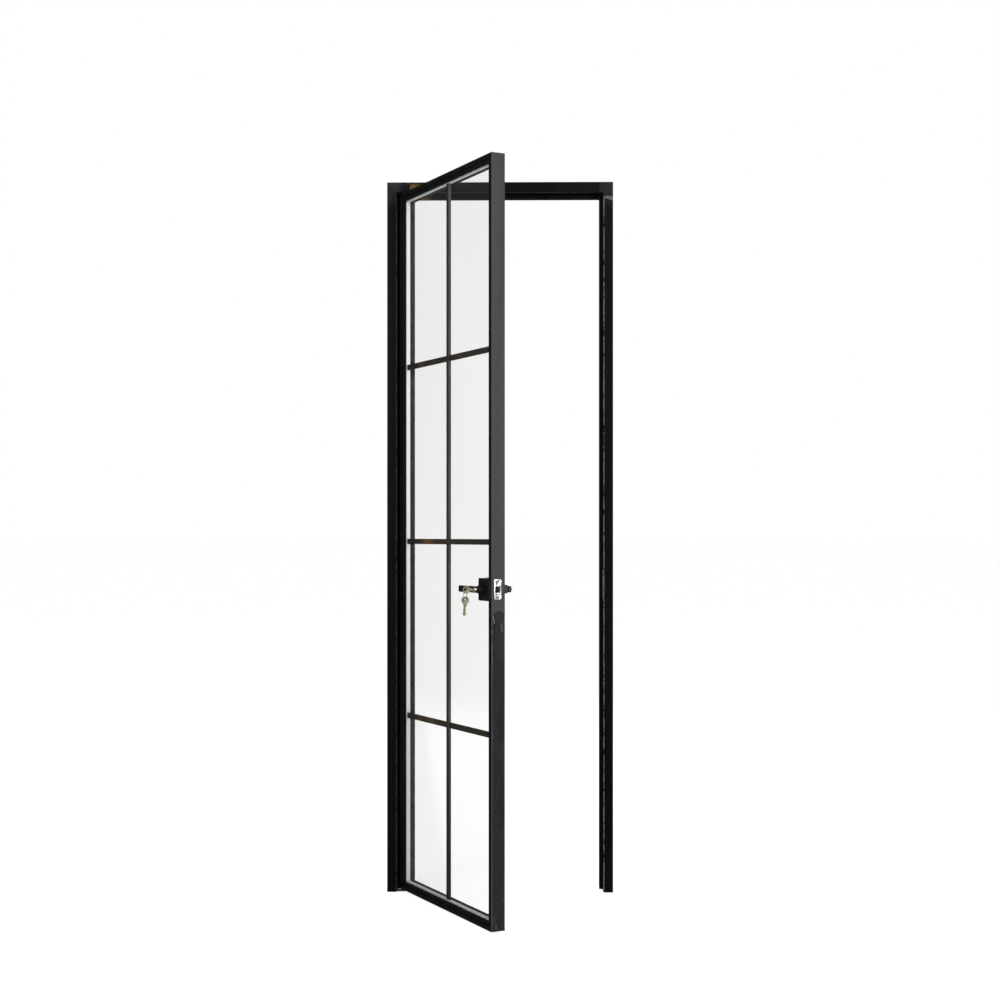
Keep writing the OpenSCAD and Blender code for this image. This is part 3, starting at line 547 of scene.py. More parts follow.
FINISHES: dict[str, Finish] = {
    "black_profile": PowderCoat("black_powder_coat", srgb(12, 12, 13)),
    # painted light: the lock stile's edge face takes a lighter grey
    "painted_lit_edge_coat": PowderCoat("stile_coat_with_painted_lit_edge", srgb(10, 10, 10), edge=srgb(60, 60, 62)),
    "filmed_frame": FilmedProfile("filmed_black_frame", srgb(6, 5, 6), srgb(42, 42, 44),
                                  srgb(92, 90, 88), srgb(118, 86, 44)),
    "mill_aluminium": Metal("mill_aluminium", srgb(176, 178, 182), 0.42),
    "black_rubber": Rubber("black_rubber", srgb(8, 8, 9), srgb(18, 18, 19)),
    "black_plastic": Moulding("black_plastic", srgb(20, 20, 22)),
    "blue_plastic": Moulding("blue_plastic", srgb(36, 82, 150), 0.5),
    "pivot_steel": Metal("zinc_plated_steel", srgb(150, 152, 156), 0.36),
    "screw_steel": Metal("screw_steel", srgb(150, 150, 152), 0.3, ALONG_X, 0.5),
    "bright_steel": Metal("brushed_stainless", srgb(222, 222, 222), 0.3),
    "spring_steel": Metal("spring_steel", srgb(120, 120, 124), 0.32),
    "bronze": Metal("bronze", srgb(190, 140, 78), 0.34),
    "front_glass": FloatGlass("front_float_glass", (0.996, 0.997, 0.996, 1)),
    "back_glass": FloatGlass("back_float_glass", (0.996, 0.997, 0.996, 1)),
    "spacer_silver": Spacer("spacer_aluminium", srgb(222, 225, 224)),
    "sealant": Rubber("edge_sealant", srgb(8, 8, 8), srgb(18, 18, 18)),
    "black_bar": BarCoat("bar_paint", srgb(32, 28, 22), srgb(74, 72, 66), srgb(84, 56, 20)),
    "black_lock": PowderCoat("lock_powder_coat", srgb(16, 14, 12), 0.5, 0.1, 0.1),
    # painted light: the back rose and lever take a lighter grey on the faces toward the leaf's edge
    "inner_lock": PowderCoat("back_lock_coat_with_painted_light", srgb(18, 17, 16), 0.5, 0.1, 0.1,
                               srgb(62, 62, 64), 634.0),
    "dark_bolt": Moulding("blackened_bolt", srgb(26, 26, 28), 0.35),
    "key_nickel": Metal("nickel_silver", srgb(238, 228, 206), 0.3, ALONG_X, 0.6, 0.5),
    # painted shade: a darker copy of the nickel, for the key in the lock and the far spare
    "dark_key_nickel": Metal("shaded_nickel_copy", srgb(118, 114, 92), 0.36, ALONG_X, 0.4, 0.7),
    "film": ClingFilm("edge_film", srgb(34, 35, 40), srgb(84, 85, 90), 0.3, srgb(124, 126, 132)),
    "peeled_film": ClingFilm("peeled_film", srgb(92, 90, 84), srgb(150, 148, 140), 0.7),
}
OWN_FINISH = {"hinge_jamb": "filmed_frame", "lock_jamb": "filmed_frame", "head": "filmed_frame",
              "lock_stile": "painted_lit_edge_coat", "pivot_screws": "dark_bolt",
              "top_pivot_pin": "dark_bolt", "top_pivot_block": "dark_bolt"}


class Wardrobe:
    """Makes each finish once and hands it out."""

    def __init__(self) -> None:
        """Starts with nothing made."""
        self.made: dict[str, bpy.types.Material] = {}

    def get(self, key: str) -> bpy.types.Material:
        """The material of a finish, by its key in FINISHES."""
        if key not in self.made:
            self.made[key] = FINISHES[key].build()
        return self.made[key]

    def dress_nodes(self) -> None:
        """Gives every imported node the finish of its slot."""
        for name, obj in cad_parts.items():
            key = OWN_FINISH.get(name, obj.material_slots[0].material.name.split(".")[0])
            for one in obj.material_slots:
                one.material = self.get(key)
            LOG.info("node %s wears %s", name, key)


WARDROBE = Wardrobe()


# ---------- the modelling bench ----------


def swung() -> Matrix:
    """Turns what is modelled on the closed leaf to where the leaf stands."""
    there = Matrix.Translation(PIVOT)
    return there @ Matrix.Rotation(-OPEN, 4, "Z") @ there.inverted()


def show(obj: bpy.types.Object) -> None:
    """Puts an object in the scene."""
    bpy.context.scene.collection.objects.link(obj)


class Axis(Enum):
    """The axis a round blank is turned about, as the blank's own turn."""
    X = (0, math.pi / 2, 0)
    Y = (math.pi / 2, 0, 0)
    Z = (0, 0, 0)


class Piece:
    """A mesh on the bench, shaped with ordinary modelling steps."""

    def __init__(self, obj: bpy.types.Object, name: str) -> None:
        """Takes an object and names it."""
        self.obj = obj
        obj.name = obj.data.name = name

    @classmethod
    def added(cls, name: str, operation: Callable, **settings: object) -> "Piece":
        """Adds a primitive with nothing else selected, and applies where it is put."""
        bpy.ops.object.select_all(action="DESELECT")
        operation(**settings)
        bpy.ops.object.transform_apply()
        return cls(bpy.context.object, name)

    @classmethod
    def block(cls, name: str, low: Triple, high: Triple) -> "Piece":
        """A box between two corners, in millimetres."""
        return cls.added(name, bpy.ops.mesh.primitive_cube_add, size=1,
                         location=[(a + b) / 2 * MM for a, b in zip(low, high)],
                         scale=[(b - a) * MM for a, b in zip(low, high)])

    @classmethod
    def block_about(cls, name: str, centre: Triple, size: Triple) -> "Piece":
        """A box about its centre, in millimetres."""
        return cls.block(name, tuple(c - s / 2 for c, s in zip(centre, size)),
                         tuple(c + s / 2 for c, s in zip(centre, size)))

    @classmethod
    def rod(cls, name: str, axis: Axis, centre: Triple, radius: float, length: float,
            sides: int = 48) -> "Piece":
        """A round bar about an axis, centred on a point, in millimetres."""
        return cls.added(name, bpy.ops.mesh.primitive_cylinder_add, vertices=sides, radius=radius * MM,
                         depth=length * MM, location=[c * MM for c in centre], rotation=axis.value)

    @classmethod
    def hoop(cls, name: str, axis: Axis, centre: Triple, radius: float, wire: float) -> "Piece":
        """A round ring of round wire, in millimetres."""
        return cls.added(name, bpy.ops.mesh.primitive_torus_add, major_segments=56, minor_segments=10,
                         major_radius=radius * MM, minor_radius=wire / 2 * MM,
                         location=[c * MM for c in centre], rotation=axis.value)

    @classmethod
    def sheet(cls, name: str, columns: int, rows: int) -> "Piece":
        """A flat grid two metres square about the origin, to be shaped by mould."""
        return cls.added(name, bpy.ops.mesh.primitive_grid_add, x_subdivisions=columns,
                         y_subdivisions=rows, size=2)

    @classmethod
    def of_node(cls, node: str, edge: float, segments: int = 2) -> "Piece":
        """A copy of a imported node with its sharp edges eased.

        Args:
            node: the node.
            edge: width of the eased edge in millimetres.
            segments: steps across it.

        Returns:
            The copy.
        """
        obj = bpy.data.objects.new(node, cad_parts[node].data.copy())
        show(obj)
        piece = cls(obj, node + "_eased")
        piece.enter()
        bpy.ops.mesh.customdata_custom_splitnormals_clear()
        bpy.ops.mesh.select_all(action="SELECT")
        bpy.ops.mesh.remove_doubles(threshold=1e-6)
        bpy.ops.mesh.dissolve_limited(angle_limit=math.radians(0.5))
        return piece.leave().ease(edge, segments)

    def activate(self) -> None:
        """Makes this the one selected and active object."""
        bpy.ops.object.select_all(action="DESELECT")
        self.obj.select_set(True)
        bpy.context.view_layer.objects.active = self.obj

    def enter(self) -> None:
        """Goes into edit mode with nothing selected."""
        self.activate()
        bpy.ops.object.mode_set(mode="EDIT")
        bpy.ops.mesh.select_all(action="DESELECT")

    def leave(self) -> "Piece":
        """Comes back to object mode."""
        bpy.ops.object.mode_set(mode="OBJECT")
        return self

    def select(self, kind: str, chosen: Callable[[bmesh.types.BMesh], None]) -> "Piece":
        """Goes into edit mode and lets a function choose among the faces or edges."""
        self.enter()
        bpy.ops.mesh.select_mode(type=kind)
        chosen(bmesh.from_edit_mesh(self.obj.data))
        bmesh.update_edit_mesh(self.obj.data)
        return self

    def faces(self, test: Test) -> "Piece":
        """Selects the faces whose normal and centre pass a test."""
        def chosen(mesh: bmesh.types.BMesh) -> None:
            """Tests each face."""
            for face in mesh.faces:
                face.select_set(test(face.normal, face.calc_center_median() / MM))
        return self.select("FACE", chosen)

    def edges(self, test: Test) -> "Piece":
        """Selects the edges whose two ends pass a test."""
        def chosen(mesh: bmesh.types.BMesh) -> None:
            """Tests each edge."""
            for edge in mesh.edges:
                edge.select_set(test(edge.verts[0].co / MM, edge.verts[1].co / MM))
        return self.select("EDGE", chosen)

    def round(self, width: float, segments: int = 4) -> "Piece":
        """Bevels the selected edges and leaves edit mode."""
        bpy.ops.mesh.bevel(offset=width * MM, segments=segments, affect="EDGES")
        return self.leave()

    def panel(self, border: float, depth: float) -> "Piece":
        """Insets the selected faces and sinks them by depth, or raises them where it is negative."""
        bpy.ops.mesh.inset(thickness=border * MM, depth=-depth * MM)
        return self.leave()

    def taper(self, factors: Triple, centre: Triple) -> "Piece":
        """Scales the selected faces about a point, in millimetres."""
        bpy.ops.transform.resize(value=factors, center_override=[c * MM for c in centre])
        return self.leave()

    def modify(self, kind: str, **settings: object) -> "Piece":
        """Adds a modifier and applies it."""
        self.activate()
        modifier = self.obj.modifiers.new(kind.lower(), kind)
        for key, value in settings.items():
            setattr(modifier, key, value)
        bpy.ops.object.modifier_apply(modifier=modifier.name)
        return self

    def ease(self, width: float, segments: int = 2) -> "Piece":
        """Eases every sharp edge by a width in millimetres."""
        return self.modify("BEVEL", width=width * MM, segments=segments, limit_method="ANGLE",
                           angle_limit=math.radians(40))

    def cut(self, *tools: "Piece") -> "Piece":
        """Takes the shapes of other pieces out of this one."""
        for tool in tools:
            self.modify("BOOLEAN", operation="DIFFERENCE", solver="EXACT", object=tool.obj)
            bpy.data.objects.remove(tool.obj)
        return self

    def join(self, *others: "Piece") -> "Piece":
        """Joins other pieces into this one."""
        self.activate()
        for other in others:
            other.obj.select_set(True)
        bpy.ops.object.join()
        return self

    def mould(self, place: Callable[[Vector], Triple]) -> "Piece":
        """Moves every corner to where a rule puts it, in millimetres."""
        for corner in self.obj.data.vertices:
            corner.co = Vector(place(corner.co)) * MM
        return self

    def copy(self, name: str) -> "Piece":
        """A second piece with its own mesh."""
        obj = bpy.data.objects.new(name, self.obj.data.copy())
        show(obj)
        return Piece(obj, name)

    def place(self, matrix: Matrix) -> "Piece":
        """Moves the mesh by a matrix, the object staying at the origin."""
        self.obj.data.transform(matrix)
        return self

    def wear_swung(self, key: str, slot: str, body: str, node: str) -> "Piece":
        """Turns the piece from the closed leaf to where the leaf stands, and finishes it."""
        return self.place(swung()).wear(key, slot, body, node)

    def wear(self, key: str, slot: str, body: str, *nodes: str) -> "Piece":
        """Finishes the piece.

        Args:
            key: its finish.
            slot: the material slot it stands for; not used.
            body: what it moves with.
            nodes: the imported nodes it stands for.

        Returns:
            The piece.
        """
        self.activate()
        bpy.ops.object.shade_smooth_by_angle(angle=math.radians(35))
        self.obj.data.materials.clear()
        self.obj.data.materials.append(WARDROBE.get(key))
        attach(self.obj, body)
        if nodes:
            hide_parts(*nodes)
        LOG.info("piece %s: %d faces, on %s", self.obj.name, len(self.obj.data.polygons), body)
        return self


# ---------- profiles ----------


@dataclass
class Extrusions:
    """The long members of the frame and the leaf, with eased edges."""
    frame_edge: float = 0.7
    leaf_edge: float = 0.6
    bead_edge: float = 0.5
    bar_edge: float = 1.0

    def build(self) -> None:
        """Eases the edges and dresses the members."""
        black = "black_profile"
        for nodes, edge, segments, key, slot, body in (
                (("hinge_jamb", "lock_jamb", "head"), self.frame_edge, 2, "filmed_frame", black, "frame"),
                (("hinge_stile", "top_rail", "bottom_rail"), self.leaf_edge, 2, black, black, "leaf"),
                (("lock_stile",), self.leaf_edge, 2, "painted_lit_edge_coat", black, "leaf"),
                (("hinge_bead", "lock_bead_lower", "lock_bead_upper", "top_bead", "bottom_bead"),
                 self.bead_edge, 2, black, black, "leaf"),
                (("vertical_bar", "lower_bar", "middle_bar", "upper_bar"),
                 self.bar_edge, 3, "black_bar", "black_bar", "leaf")):
            for node in nodes:
                Piece.of_node(node, edge, segments).wear(key, slot, body, node)


# ---------- lock ----------


@dataclass
class LockPlace:
    """Where the lock sits on the closed leaf, in millimetres."""
    x: float = 632.0
    z: float = 955.0
    middle: float = 21.0
    edge: float = 666.0


def lock_finish(node: str) -> str:
    """The finish of a lock part: plain in front; behind, painted light gives the faces toward the leaf's edge a
    lighter grey.
    """
    return "black_lock" if node.startswith("front") else "inner_lock"


@dataclass
class Rose:
    """Square rose with rounded corners, an eased rim and a collar recess round the lever's neck."""
    at: LockPlace
    name: str
    wide: float
    near: float
    far: float
    tall: float = 63.0
    corner: float = 5.0
    rim: float = 1.2
    collar: float = 12.9
    collar_deep: float = 2.5

    def build(self) -> Piece:
        """Models the rose between its two faces."""
        low, high = sorted((self.near, self.far))
        piece = Piece.block(self.name, (self.at.x - self.wide / 2, low, self.at.z - self.tall / 2),
                            (self.at.x + self.wide / 2, high, self.at.z + self.tall / 2))
        piece.edges(lambda a, b: abs(a.y - b.y) > 1).round(self.corner, 6)
        piece.edges(lambda a, b: max(abs(a.y - self.far), abs(b.y - self.far)) < 0.01).round(self.rim, 3)
        centre = (self.at.x, self.far, self.at.z)
        return piece.cut(Piece.rod("collar_tool", Axis.Y, centre, self.collar, 2 * self.collar_deep))

    def dress(self, piece: Piece, node: str) -> None:
        """Gives the rose its finish and stands it for its node."""
        piece.wear_swung(lock_finish(node), "black_lock", "leaf", node)


@dataclass
class Lever:
    """Flat bar lever on a round neck, bored for the cylinder or the inside turn."""
    at: LockPlace
    name: str
    inner: float
    outer: float
    foot: float
    bore: float
    tip: float = 111.0
    heel: float = 15.0
    half: float = 9.0
    neck: float = 12.0
    rim: float = 1.0
    heel_round: float = 4.5
    tip_round: float = 1.5
    bore_deep: float = 3.0
    sunk: float = 0.2
    groove_from: float = 3.2
    groove_wide: float = 0.9
    groove_deep: float = 0.6

    def build(self) -> Piece:
        """Models the bar, its neck and the recess in its face."""
        low, high = sorted((self.inner, self.outer))
        x, z = self.at.x, self.at.z
        bar = Piece.block(self.name, (x - self.tip, low, z - self.half), (x + self.heel, high, z + self.half))
        bar.edges(lambda a, b: abs(a.y - b.y) > 1 and min(a.x, b.x) > x).round(self.heel_round, 5)
        bar.edges(lambda a, b: abs(a.y - b.y) > 1 and max(a.x, b.x) < x).round(self.tip_round, 3)
        bar.ease(self.rim, 3)
        bar.cut(Piece.rod("bore_tool", Axis.Y, (x, self.outer, z), self.bore, 2 * self.bore_deep))
        middle = (self.inner + self.foot) / 2
        length = abs(self.inner - self.foot) + 2 * self.sunk
        neck = Piece.rod("neck", Axis.Y, (x, middle, z), self.neck, length)
        neck.ease(0.4)
        inward = math.copysign(1, self.foot - self.inner)
        groove_at = (x, self.inner + inward * self.groove_from, z)
        groove = Piece.rod("groove_tool", Axis.Y, groove_at, self.neck + 1, self.groove_wide)
        core = Piece.rod("groove_core", Axis.Y, groove_at, self.neck - self.groove_deep, 3)
        neck.cut(groove.cut(core))
        return bar.join(neck)

    def dress(self, piece: Piece, node: str) -> None:
        """Gives the lever its finish and stands it for its node."""
        piece.wear_swung(lock_finish(node), "black_lock", "levers", node)


@dataclass
class Cylinder:
    """Bright cylinder in the front lever's nose, with its turning plug and keyway."""
    at: LockPlace
    radius: float = 7.5
    face: float = -37.0
    back: float = -14.1
    border: float = 0.9
    slack: float = 0.06
    plug: float = 5.0
    plug_middle: float = -26.3
    plug_long: float = 21.6

    def build(self) -> tuple[Piece, Piece]:
        """Models the housing and the plug."""
        centre = (self.at.x, (self.face + self.back) / 2, self.at.z)
        housing = Piece.rod("lock_cylinder_housing", Axis.Y, centre, self.radius, self.back - self.face)
        housing.faces(lambda n, c: n.y < -0.9).panel(self.border, 0)
        housing.cut(Piece.rod("plug_tool", Axis.Y, centre, self.plug + self.slack, 60))
        housing.ease(0.5, 3)
        plug = Piece.rod("lock_plug_face", Axis.Y, (self.at.x, self.plug_middle, self.at.z), self.plug,
                         self.plug_long)
        plug.ease(0.35)
        for name, left, right, below, above in (("keyway_tool", -1.3, 1.3, -4, 4),
                                                ("ward_tool", -1.9, -1.2, -1.0, 0.4)):
            plug.cut(Piece.block(name, (self.at.x + left, -60, self.at.z + below),
                                 (self.at.x + right, -16, self.at.z + above)))
        return housing, plug

    def dress(self, housing: Piece, plug: Piece) -> None:
        """Gives both their finish."""
        housing.wear_swung("bright_steel", "bright_steel", "levers", "lock_cylinder")
        plug.wear_swung("key_nickel", "key_nickel", "plug", "lock_plug")


@dataclass
class ThumbTurn:
    """Inside turn: a collar and a flat grip that narrows to its tip."""
    at: LockPlace
    stem: float = 4.0
    collar: float = 7.0
    wide: float = 13.0
    thick: float = 3.0
    root: float = 74.6
    tip: float = 82.0

    def build(self) -> Piece:
        """Models the turn."""
        x, z = self.at.x, self.at.z
        stem = Piece.rod("thumb_turn_grip", Axis.Y, (x, 66.8, z), self.stem, 17.2)
        flange = Piece.rod("flange", Axis.Y, (x, 74.4, z), self.collar, 1.9).ease(0.5, 3)
        grip = Piece.block("grip", (x - self.wide / 2, self.root, z - self.thick / 2),
                           (x + self.wide / 2, self.tip, z + self.thick / 2))
        grip.faces(lambda n, c: n.y > 0.9).taper((0.8, 1, 0.62), (x, self.tip, z))
        grip.edges(lambda a, b: abs(a.z - b.z) > 0.5 and min(a.y, b.y) > self.tip - 1).round(2.4, 5)
        grip.ease(0.35)
        return stem.join(flange, grip)

    def dress(self, piece: Piece) -> None:
        """Gives the turn its finish."""
        piece.wear_swung("black_lock", "black_lock", "turn", "thumb_turn")


@dataclass
class CrossScrew:
    """Countersunk head with a cross recess, facing along X."""
    radius: float = 3.4
    deep: float = 1.4
    recess: float = 1.9
    slot: float = 0.84
    slot_deep: float = 0.9

    def head(self, name: str, x: float, y: float, z: float, facing: int) -> Piece:
        """Models one head with its face at x.

        Args:
            name: its name.
            x: its face.
            y: its centre.
            z: its centre.
            facing: 1 to face +X, -1 to face -X.

        Returns:
            The head.
        """
        head = Piece.rod(name, Axis.X, (x - facing * self.deep / 2, y, z), self.radius, self.deep, 32)
        head.faces(lambda n, c: n.x * facing < -0.9).taper((1, 0.55, 0.55), (x, y, z))
        head.ease(0.15)
        across, upright = (
            Piece.block_about(slot, (x, y, z), (2 * self.slot_deep, wide, tall)) for slot, wide, tall in (
                ("slot_a", 2 * self.recess, self.slot), ("slot_b", self.slot, 2 * self.recess)))
        return head.cut(across, upright)


@dataclass
class LatchFront:
    """Faceplate with rounded corners, its screws and the bevelled bolt."""
    at: LockPlace
    wide: float = 25.0
    tall: float = 57.0
    thick: float = 2.5
    corner: float = 3.5
    bolt_wide: float = 12.6
    bolt_tall: float = 17.6
    screw_rise: float = 22.5
    sink: float = 3.6
    notch_rise: float = 14.5
    notch_wide: float = 15.0
    notch_tall: float = 2.2
    notch_deep: float = 0.5

    def build(self) -> tuple[Piece, Piece, Piece]:
        """Models the plate, the screw heads and the bolt."""
        at = self.at
        plate = Piece.block_about("latch_faceplate_stamped", (at.edge - self.thick / 2, at.middle, at.z),
                                  (self.thick, self.wide, self.tall))
        plate.edges(lambda a, b: abs(a.x - b.x) > 1).round(self.corner, 6)
        plate.cut(Piece.block_about("mouth_tool", (at.edge - 2, at.middle, at.z),
                                    (8, self.bolt_wide, self.bolt_tall)))
        for side in (-1, 1):
            plate.cut(Piece.rod("sink_tool", Axis.X, (at.edge - 1, at.middle, at.z + side * self.screw_rise),
                                self.sink, 6, 32))
            plate.cut(Piece.block_about(
                "notch_tool", (at.edge + self.notch_deep / 2, at.middle, at.z + side * self.notch_rise),
                (3 * self.notch_deep, self.notch_wide, self.notch_tall)))
        plate.ease(0.25)
        lower, upper = (CrossScrew().head(f"faceplate_screw_heads{side}", at.edge - 0.15, at.middle,
                                          at.z + side * self.screw_rise, 1) for side in (-1, 1))
        return plate, lower.join(upper), Piece.of_node("latch_bolt", 0.5, 3)

    def dress(self, plate: Piece, screws: Piece, bolt: Piece) -> None:
        """Gives the three their finish."""
        plate.wear_swung("bright_steel", "bright_steel", "leaf", "latch_faceplate")
        screws.wear_swung("screw_steel", "screw_steel", "leaf", "faceplate_screws")
        bolt.wear("dark_bolt", "dark_bolt", "latch", "latch_bolt")


@dataclass
class Keys:
    """The key in the lock, and two spares that hang from its split ring."""
    at: LockPlace
    bow: float = 11.0
    bow_centre: float = -14.0
    hole_y: float = -18.0
    hole: float = 3.0
    border: float = 1.8
    dish: float = 0.28
    thick: float = 2.2
    blade: float = 28.0
    tall: float = 7.4
    cut_pitch: float = 4.0
    shoulder: float = -46.0
    ring_y: float = -64.0
    ring_z: float = 942.2
    ring_radius: float = 11.0
    wire: float = 0.8
    hang_z: float = 929.4
    hang_apart: float = 1.5
    askew: tuple[float, float] = (-1.5, 4.5)
    cuts: tuple[float, ...] = (1.6, 2.4, 1.2, 2.0, 1.4)

    def blank(self, name: str) -> Piece:
        """Models a key with its shoulder at the origin and its blade toward +Y."""
        bow = Piece.rod(name, Axis.X, (0, self.bow_centre, 0), self.bow, self.thick, 64)
        bow.faces(lambda n, c: abs(n.x) > 0.9).panel(self.border, self.dish)
        bow.cut(Piece.rod("hole_tool", Axis.X, (0, self.hole_y, 0), self.hole, 8, 32))
        bow.ease(0.25)
        neck = Piece.block("neck", (-1.1, -5.2, -4.6), (1.1, 0, 4.6))
        neck.ease(0.4)
        edge = self.tall / 2
        blade = Piece.block("blade", (-1.0, -1, -edge), (1.0, self.blade, edge))
        blade.edges(lambda a, b: min(a.y, b.y) > self.blade - 1 and abs(a.x - b.x) > 1).round(2.6, 2)
        for number, depth in enumerate(self.cuts):
            centre = (0, (number + 1) * self.cut_pitch + 0.6, edge + 1.5 - depth)
            blade.cut(Piece.rod("cut_tool", Axis.X, centre, 1.7, 6, 6))
        for side, level in ((1, 1.3), (-1, -1.1)):
            blade.cut(Piece.block("groove_tool", (side * 1.0 - 0.45, 0.5, level - 0.7),
                                  (side * 1.0 + 0.45, 40, level + 0.7)))
        return bow.join(neck, blade)

    def build(self) -> dict[str, Piece]:
        """Models the three keys and the ring."""
        first = self.blank("key_in_lock")
        near, far = first.copy("spare_key_hanging_near"), first.copy("spare_key_hanging_far")
        first.place(Matrix.Translation(Vector((self.at.x, self.shoulder, self.at.z)) * MM))
        down = Matrix.Rotation(-math.pi / 2, 4, "X") @ Matrix.Translation((0, -self.hole_y * MM, 0))
        for spare, side, askew in zip((near, far), (-1, 1), self.askew):
            hook = Vector((self.at.x + side * self.hang_apart, self.ring_y, self.hang_z)) * MM
            spare.place(Matrix.Translation(hook) @ Matrix.Rotation(math.radians(-askew), 4, "X") @ down)
        coils = []
        for side in (-1, 1):
            y = self.ring_y + side * self.wire / 2
            coil = Piece.hoop("key_split_ring" if side < 0 else "coil", Axis.Y, (self.at.x, y, self.ring_z),
                              self.ring_radius, self.wire)
            slit_z = self.ring_z + 2 + side * 3
            coils.append(coil.cut(Piece.block("slit_tool", (self.at.x + 5, y - 1, slit_z),
                                              (self.at.x + 14, y + 1, slit_z + 0.5))))
        return {"key": first, "spare_key_near": near, "spare_key_far": far,
                "key_ring": coils[0].join(coils[1])}

    def dress(self, made: dict[str, Piece]) -> None:
        """Gives the keys and the ring their finish."""
        looks = {"key": ("dark_key_nickel", "key"), "spare_key_near": ("key_nickel", "spare_near"),
                 "spare_key_far": ("dark_key_nickel", "spare_far"), "key_ring": ("bright_steel", "ring")}
        for node, (key, body) in looks.items():
            slot = "key_nickel" if key.endswith("nickel") else key
            made[node].wear_swung(key, slot, body, node)


# ---------- protective film ----------


def bell(value: float, centre: float, width: float) -> float:
    """One at a centre, fading away over a width on either side."""
    return math.exp(-((value - centre) / width) ** 2)


@dataclass
class LooseFilm:
    """Protective film left on the lower half of the leaf's lock edge, its top corner peeling."""
    at: LockPlace
    bottom: float = 9.5
    top: float = 895.5
    front: float = 1.0
    back: float = 41.0
    thick: float = 0.16

    def settle(self, corner: Vector) -> Triple:
        """Lays one corner of the grid on the leaf's edge.

        Args:
            corner: its place on the flat grid.

        Returns:
            Its place on the closed leaf.
        """
        across, up = (corner.x + 1) / 2, (corner.y + 1) / 2
        z = self.bottom + (self.top - self.bottom) * up
        below = self.top - z
        arch = 14 * abs(2 * across - 1.1) ** 2.4 if up > 0.985 else 0
        pulled = 5.5 * bell(below, 26, 22) + 2.2 * bell(below, 75, 16)
        front = self.front + pulled + 0.5 * math.sin(z / 31) + 0.4 * math.sin(z / 11.3)
        back = self.back - 2.0 * bell(below, 58, 14) - 0.4 * math.sin(z / 23)
        y = front + (back - front) * across
        rim = max(0.0, 1 - across * 7) + max(0.0, (across - 0.88) * 7)
        lift = 0.35 + 0.25 * math.sin(z / 17 + 3 * across) * math.sin(z / 41)
        lift += rim * (0.5 + 0.5 * math.sin(z / 13)) + 1.3 * rim * bell(below, 0, 60)
        lift += bell(z, self.bottom, 26) * (0.8 + 0.8 * math.sin(across * 17 + z / 3))
        return self.at.edge + 0.05 + max(0.0, lift), y, z - arch

    def build(self) -> Piece:
        """Models the film."""
        film = Piece.sheet("edge_film_loose", 18, 220).mould(self.settle)
        return film.modify("SOLIDIFY", thickness=self.thick * MM, offset=0)

    def dress(self, film: Piece) -> None:
        """Gives the film its finish."""
        film.wear_swung("film", "film", "leaf", "edge_film")


@dataclass
class PeeledPatch:
    """Torn end of the film on the lock jamb's face, just under the head."""
    left: float = 671.0
    right: float = 699.4
    top: float = 2156.0
    low_left: float = 2149.5
    low_right: float = 2141.5

    def settle(self, corner: Vector) -> Triple:
        """Lays one corner of the grid on the jamb's face."""
        across, up = (corner.x + 1) / 2, (corner.y + 1) / 2
        x = self.left + (self.right - self.left) * across
        low = self.low_left + (self.low_right - self.low_left) * across ** 1.4
        z = low + (self.top + 0.6 * math.sin(x / 3.1) - low) * up
        lift = 0.25 + 1.1 * (1 - up) ** 2 + 0.25 * math.sin(x / 2.3 + 4 * up)
        return x, -max(0.12, lift), z

    def build(self) -> Piece:
        """Models the patch."""
        patch = Piece.sheet("peeled_film_patch", 24, 10).mould(self.settle)
        return patch.modify("SOLIDIFY", thickness=0.15 * MM, offset=0)

    def dress(self, patch: Piece) -> None:
        """Gives the patch its finish."""
        patch.wear("peeled_film", "film", "frame")


def build_lock(at: LockPlace) -> None:
    """Builds and dresses the lock furniture."""
    for node, part in (("front_rose", Rose(at, "front_rose_plate", 63.0, 0.0, -8.0)),
                       ("back_rose", Rose(at, "back_rose_plate", 35.0, 42.0, 50.0)),
                       ("front_lever", Lever(at, "front_lever_bar", -23.0, -31.0, -5.5, 7.75)),
                       ("back_lever", Lever(at, "back_lever_bar", 65.0, 73.0, 47.5, 5.0))):
        part.dress(part.build(), node)
    cylinder, latch = Cylinder(at), LatchFront(at)
    cylinder.dress(*cylinder.build())
    turn = ThumbTurn(at)
    turn.dress(turn.build())
    latch.dress(*latch.build())
    keys = Keys(at)
    keys.dress(keys.build())


# ---------- studio ----------


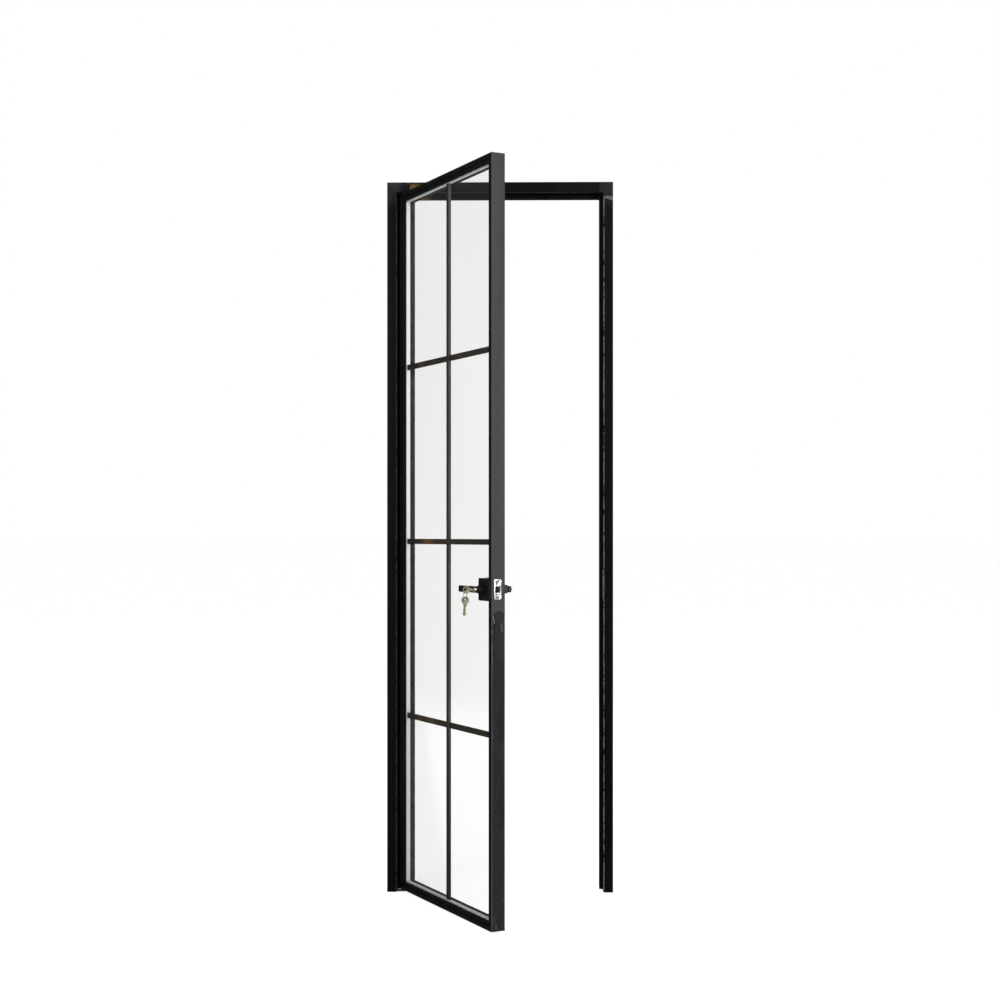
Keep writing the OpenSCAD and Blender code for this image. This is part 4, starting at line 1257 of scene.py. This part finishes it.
@dataclass
class Studio:
    """Pale floor, soft lights and the camera."""
    eye: Triple = (0.4155, -4.988, 1.1052)
    yaw: float = 0.753
    focal: float = 57.96
    rise: float = 0.0355
    floor_size: float = 900.0
    floor_glow: float = 0.9
    surround: float = 0.5
    mirrored: float = 0.10
    mirrored_tone: Colour = (1, 0.98, 0.95)
    lamp_size: float = 2.6

    def floor(self) -> None:
        """Lays the floor, bright enough to run into the background."""
        bpy.ops.mesh.primitive_plane_add(size=self.floor_size, location=(0, 0, 0))
        floor = bpy.context.object
        floor.name = "floor"
        sheet = Nodes("studio_floor")
        sheet.hold(Roughness=0.9, Specular_IOR_Level=0.1, Emission_Color=(1, 1, 1, 1),
                   Emission_Strength=self.floor_glow)
        sheet.feed("Base Color", sheet.mix(sheet.noise(2, 2), (0.19, 0.19, 0.19), (0.21, 0.21, 0.21)))
        floor.data.materials.append(sheet.material)
        floor.visible_glossy = False

    def sky(self) -> None:
        """White where it is seen, directly or through glass, and dimmer where it lights and is mirrored."""
        world = bpy.data.worlds.new("studio")
        bpy.context.scene.world = world
        world.use_nodes = True
        world.node_tree.nodes.clear()
        sky = Tree(world.node_tree)
        white, surround, mirrored = (
            sky.out(sky.add("ShaderNodeBackground", None, {"Color": (*tone, 1), "Strength": strength}))
            for tone, strength in (((1, 1, 1), 1.0), ((1, 1, 1), self.surround),
                                   (self.mirrored_tone, self.mirrored)))
        path = sky.add("ShaderNodeLightPath")
        seen = sky.out(path, "Is Camera Ray").either(sky.out(path, "Is Transmission Ray"))
        lit = sky.add("ShaderNodeMixShader", None, {
            0: sky.out(path, "Is Glossy Ray"), 1: surround, 2: mirrored})
        blend = sky.add("ShaderNodeMixShader", None, {0: seen, 1: sky.out(lit), 2: white})
        sky.add("ShaderNodeOutputWorld", None, {0: sky.out(blend)})

    def lamp(self, name: str, place: Triple, aim: Triple, power: float) -> bpy.types.Object:
        """Hangs a square soft light.

        Args:
            name: its name.
            place: where it hangs.
            aim: the point it faces.
            power: its power in watts.

        Returns:
            The light.
        """
        data = bpy.data.lights.new(name, "AREA")
        data.shape, data.size, data.energy = "SQUARE", self.lamp_size, power
        lamp = bpy.data.objects.new(name, data)
        show(lamp)
        lamp.location = place
        lamp.rotation_euler = (Vector(aim) - Vector(place)).to_track_quat("-Z", "Y").to_euler()
        return lamp

    def camera(self) -> None:
        """Sets the camera level, at eye height, with its horizon below the middle."""
        data = bpy.data.cameras.new("camera")
        data.sensor_width, data.lens, data.shift_y = 36, self.focal, self.rise
        camera = bpy.data.objects.new("camera", data)
        show(camera)
        camera.location = self.eye
        camera.rotation_euler = (math.pi / 2, 0, math.radians(self.yaw))
        bpy.context.scene.camera = camera

    def build(self) -> None:
        """Sets the whole studio up."""
        bpy.context.scene.view_settings.view_transform = "Standard"
        self.floor()
        self.sky()
        self.lamp("key", (-2.6, -4.6, 3.6), (0.3, -0.2, 1.0), 210)
        self.lamp("fill", (3.6, -3.8, 2.2), (0.4, -0.2, 1.0), 120)
        rear = self.lamp("rear", (1.5, 4.2, 3.4), (0.3, 0.0, 1.0), 130)
        rear.visible_glossy = False
        self.camera()
        LOG.info("studio set up")


def main() -> None:
    """Builds the studio and the door's pieces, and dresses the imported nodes."""
    logging.basicConfig(level=logging.INFO, format="%(name)s: %(message)s")
    Studio().build()
    WARDROBE.dress_nodes()
    Extrusions().build()
    at = LockPlace()
    build_lock(at)
    film = LooseFilm(at)
    film.dress(film.build())
    patch = PeeledPatch()
    patch.dress(patch.build())


if __name__ == "__main__":
    main()
